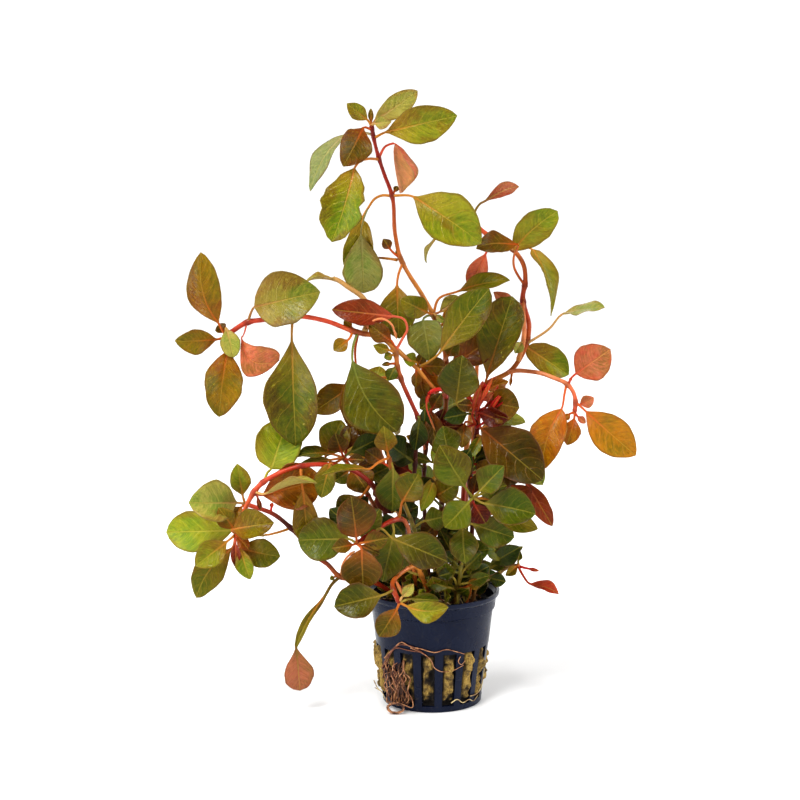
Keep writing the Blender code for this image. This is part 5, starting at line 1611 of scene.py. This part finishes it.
def tangle_path(draw):
    """One root's points, down along the wall and into the knot."""
    angle = draw.uniform(*TANGLE_ANGLES)
    height = draw.uniform(14, 22)
    points = []
    steps = draw.randint(5, 8)
    drift = draw.uniform(-0.02, 0.02)
    for step in range(steps):
        share = step / (steps - 1)
        level = height + 1.5 * math.sin(3 * share) - (height - 2.5) * share
        clear = 0.3 + 0.8 * share + draw.uniform(0, 1.2)
        turn = angle + drift * step + draw.uniform(-0.07, 0.07)
        points.append(round_axis(wall_radius(level) + clear, turn, level))
    points[0] = points[0] * 0.93 + Vector((0, 0, points[0].z * 0.07))
    start = math.pi / 2 + draw.uniform(-0.7, 0.7)
    for step in range(draw.randint(3, 7)):
        turn = start + step * KNOT_TURN
        radius = KNOT_RADIUS * draw.uniform(0.8, 1.05)
        front = KNOT_FRONT + draw.uniform(-0.7, 0.7)
        points.append(KNOT + Vector((
            radius * math.cos(turn), front, radius * KNOT_FLATTENED * math.sin(turn))))
    return points


def make_roots():
    draw = random.Random(TANGLE_SEED)
    skin = Skin()
    for _ in range(TANGLE_ROOTS):
        points = tangle_path(draw)
        hue = draw.choice(("brown", "tan", "tan", "dark", "dark"))
        grow_root(skin, points, draw.uniform(0.15, 0.3), hue)
    for row in LONG_ROOTS.strip().split("\n"):
        hue, radius, route = row.split(None, 2)
        grow_root(skin, [on_wall(*place) for place in points_of(route)], float(radius), hue)
    tangle = skin.piece("root_tangle_grown", (ROOT_FINISH,))
    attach(tangle, "root")
    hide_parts("root_tangle")
    return tangle


print("roots:", len(make_roots().data.polygons), "faces")

# %% [markdown]
# ## In the mouth of the pot
# Between the stems the wool is covered with short stalks, root threads and tiny leaves. Seen from
# the front it is a dark, busy band, and without it the stems would rise from a bare disc. The threads
# arch over the wool, and the tiny leaves stand on short stalks at random places among the stems.

# %% Threads and tiny leaves over the wool
MOUTH_SEED = 5
MOUTH_RADIUS = 21.0
MOUTH_THREADS, MOUTH_LEAVES = 46, 84


def on_wool(radius, angle, below):
    return round_axis(radius, angle, WOOL_TOP - below)


def make_mouth_threads():
    draw = random.Random(MOUTH_SEED)
    skin = Skin()
    for _ in range(MOUTH_THREADS):
        angle, radius = draw.uniform(0, 2 * math.pi), MOUTH_RADIUS * draw.uniform(0.2, 1) ** 0.5
        other, far = angle + draw.uniform(0.3, 1.6), MOUTH_RADIUS * draw.uniform(0.2, 1) ** 0.5
        start, end = on_wool(radius, angle, 0.6), on_wool(far, other, 0.6)
        middle = (start + end) / 2 + Vector((draw.uniform(-2, 2), draw.uniform(-2, 2), draw.uniform(1, 4)))
        thickness = draw.uniform(0.16, 0.38)
        grow_root(skin, [start, middle, end], thickness, draw.choice(("tan", "pale", "brown")))
    threads = skin.piece("mouth_threads", (ROOT_FINISH,))
    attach(threads, "root")
    return threads


def make_mouth_leaves():
    draw = random.Random(MOUTH_SEED + 1)
    skin = Skin()
    for _ in range(MOUTH_LEAVES):
        angle, radius = draw.uniform(0, 2 * math.pi), MOUTH_RADIUS * draw.uniform(0.1, 0.95) ** 0.5
        foot = on_wool(radius, angle, 0.5)
        lean = Vector((draw.uniform(-1, 1), draw.uniform(-1, 1), 0)) * 0.8
        height = draw.uniform(4, 13)
        neck = foot + lean * height * 0.4 + Vector((0, 0, height))
        tip = neck + round_axis(1, angle, draw.uniform(0.1, 0.8)) * draw.uniform(4, 8)
        hue = draw.choice(("dark_green", "dark_green", "green", "olive_dark", "bright"))
        stalk = [as_seen(foot), as_seen(foot.lerp(neck, 0.5) + lean), as_seen(neck)]
        width, roll = draw.uniform(4, 7.5), draw.uniform(-50, 50)
        grow_leaf(skin, Leaf(hue, stalk, as_seen(tip), width, roll, thick=0.4))
    leaves = skin.piece("mouth_leaves", PLANT_FINISHES)
    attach(leaves, "root")
    return leaves


print("mouth:", make_mouth_threads().name, make_mouth_leaves().name)
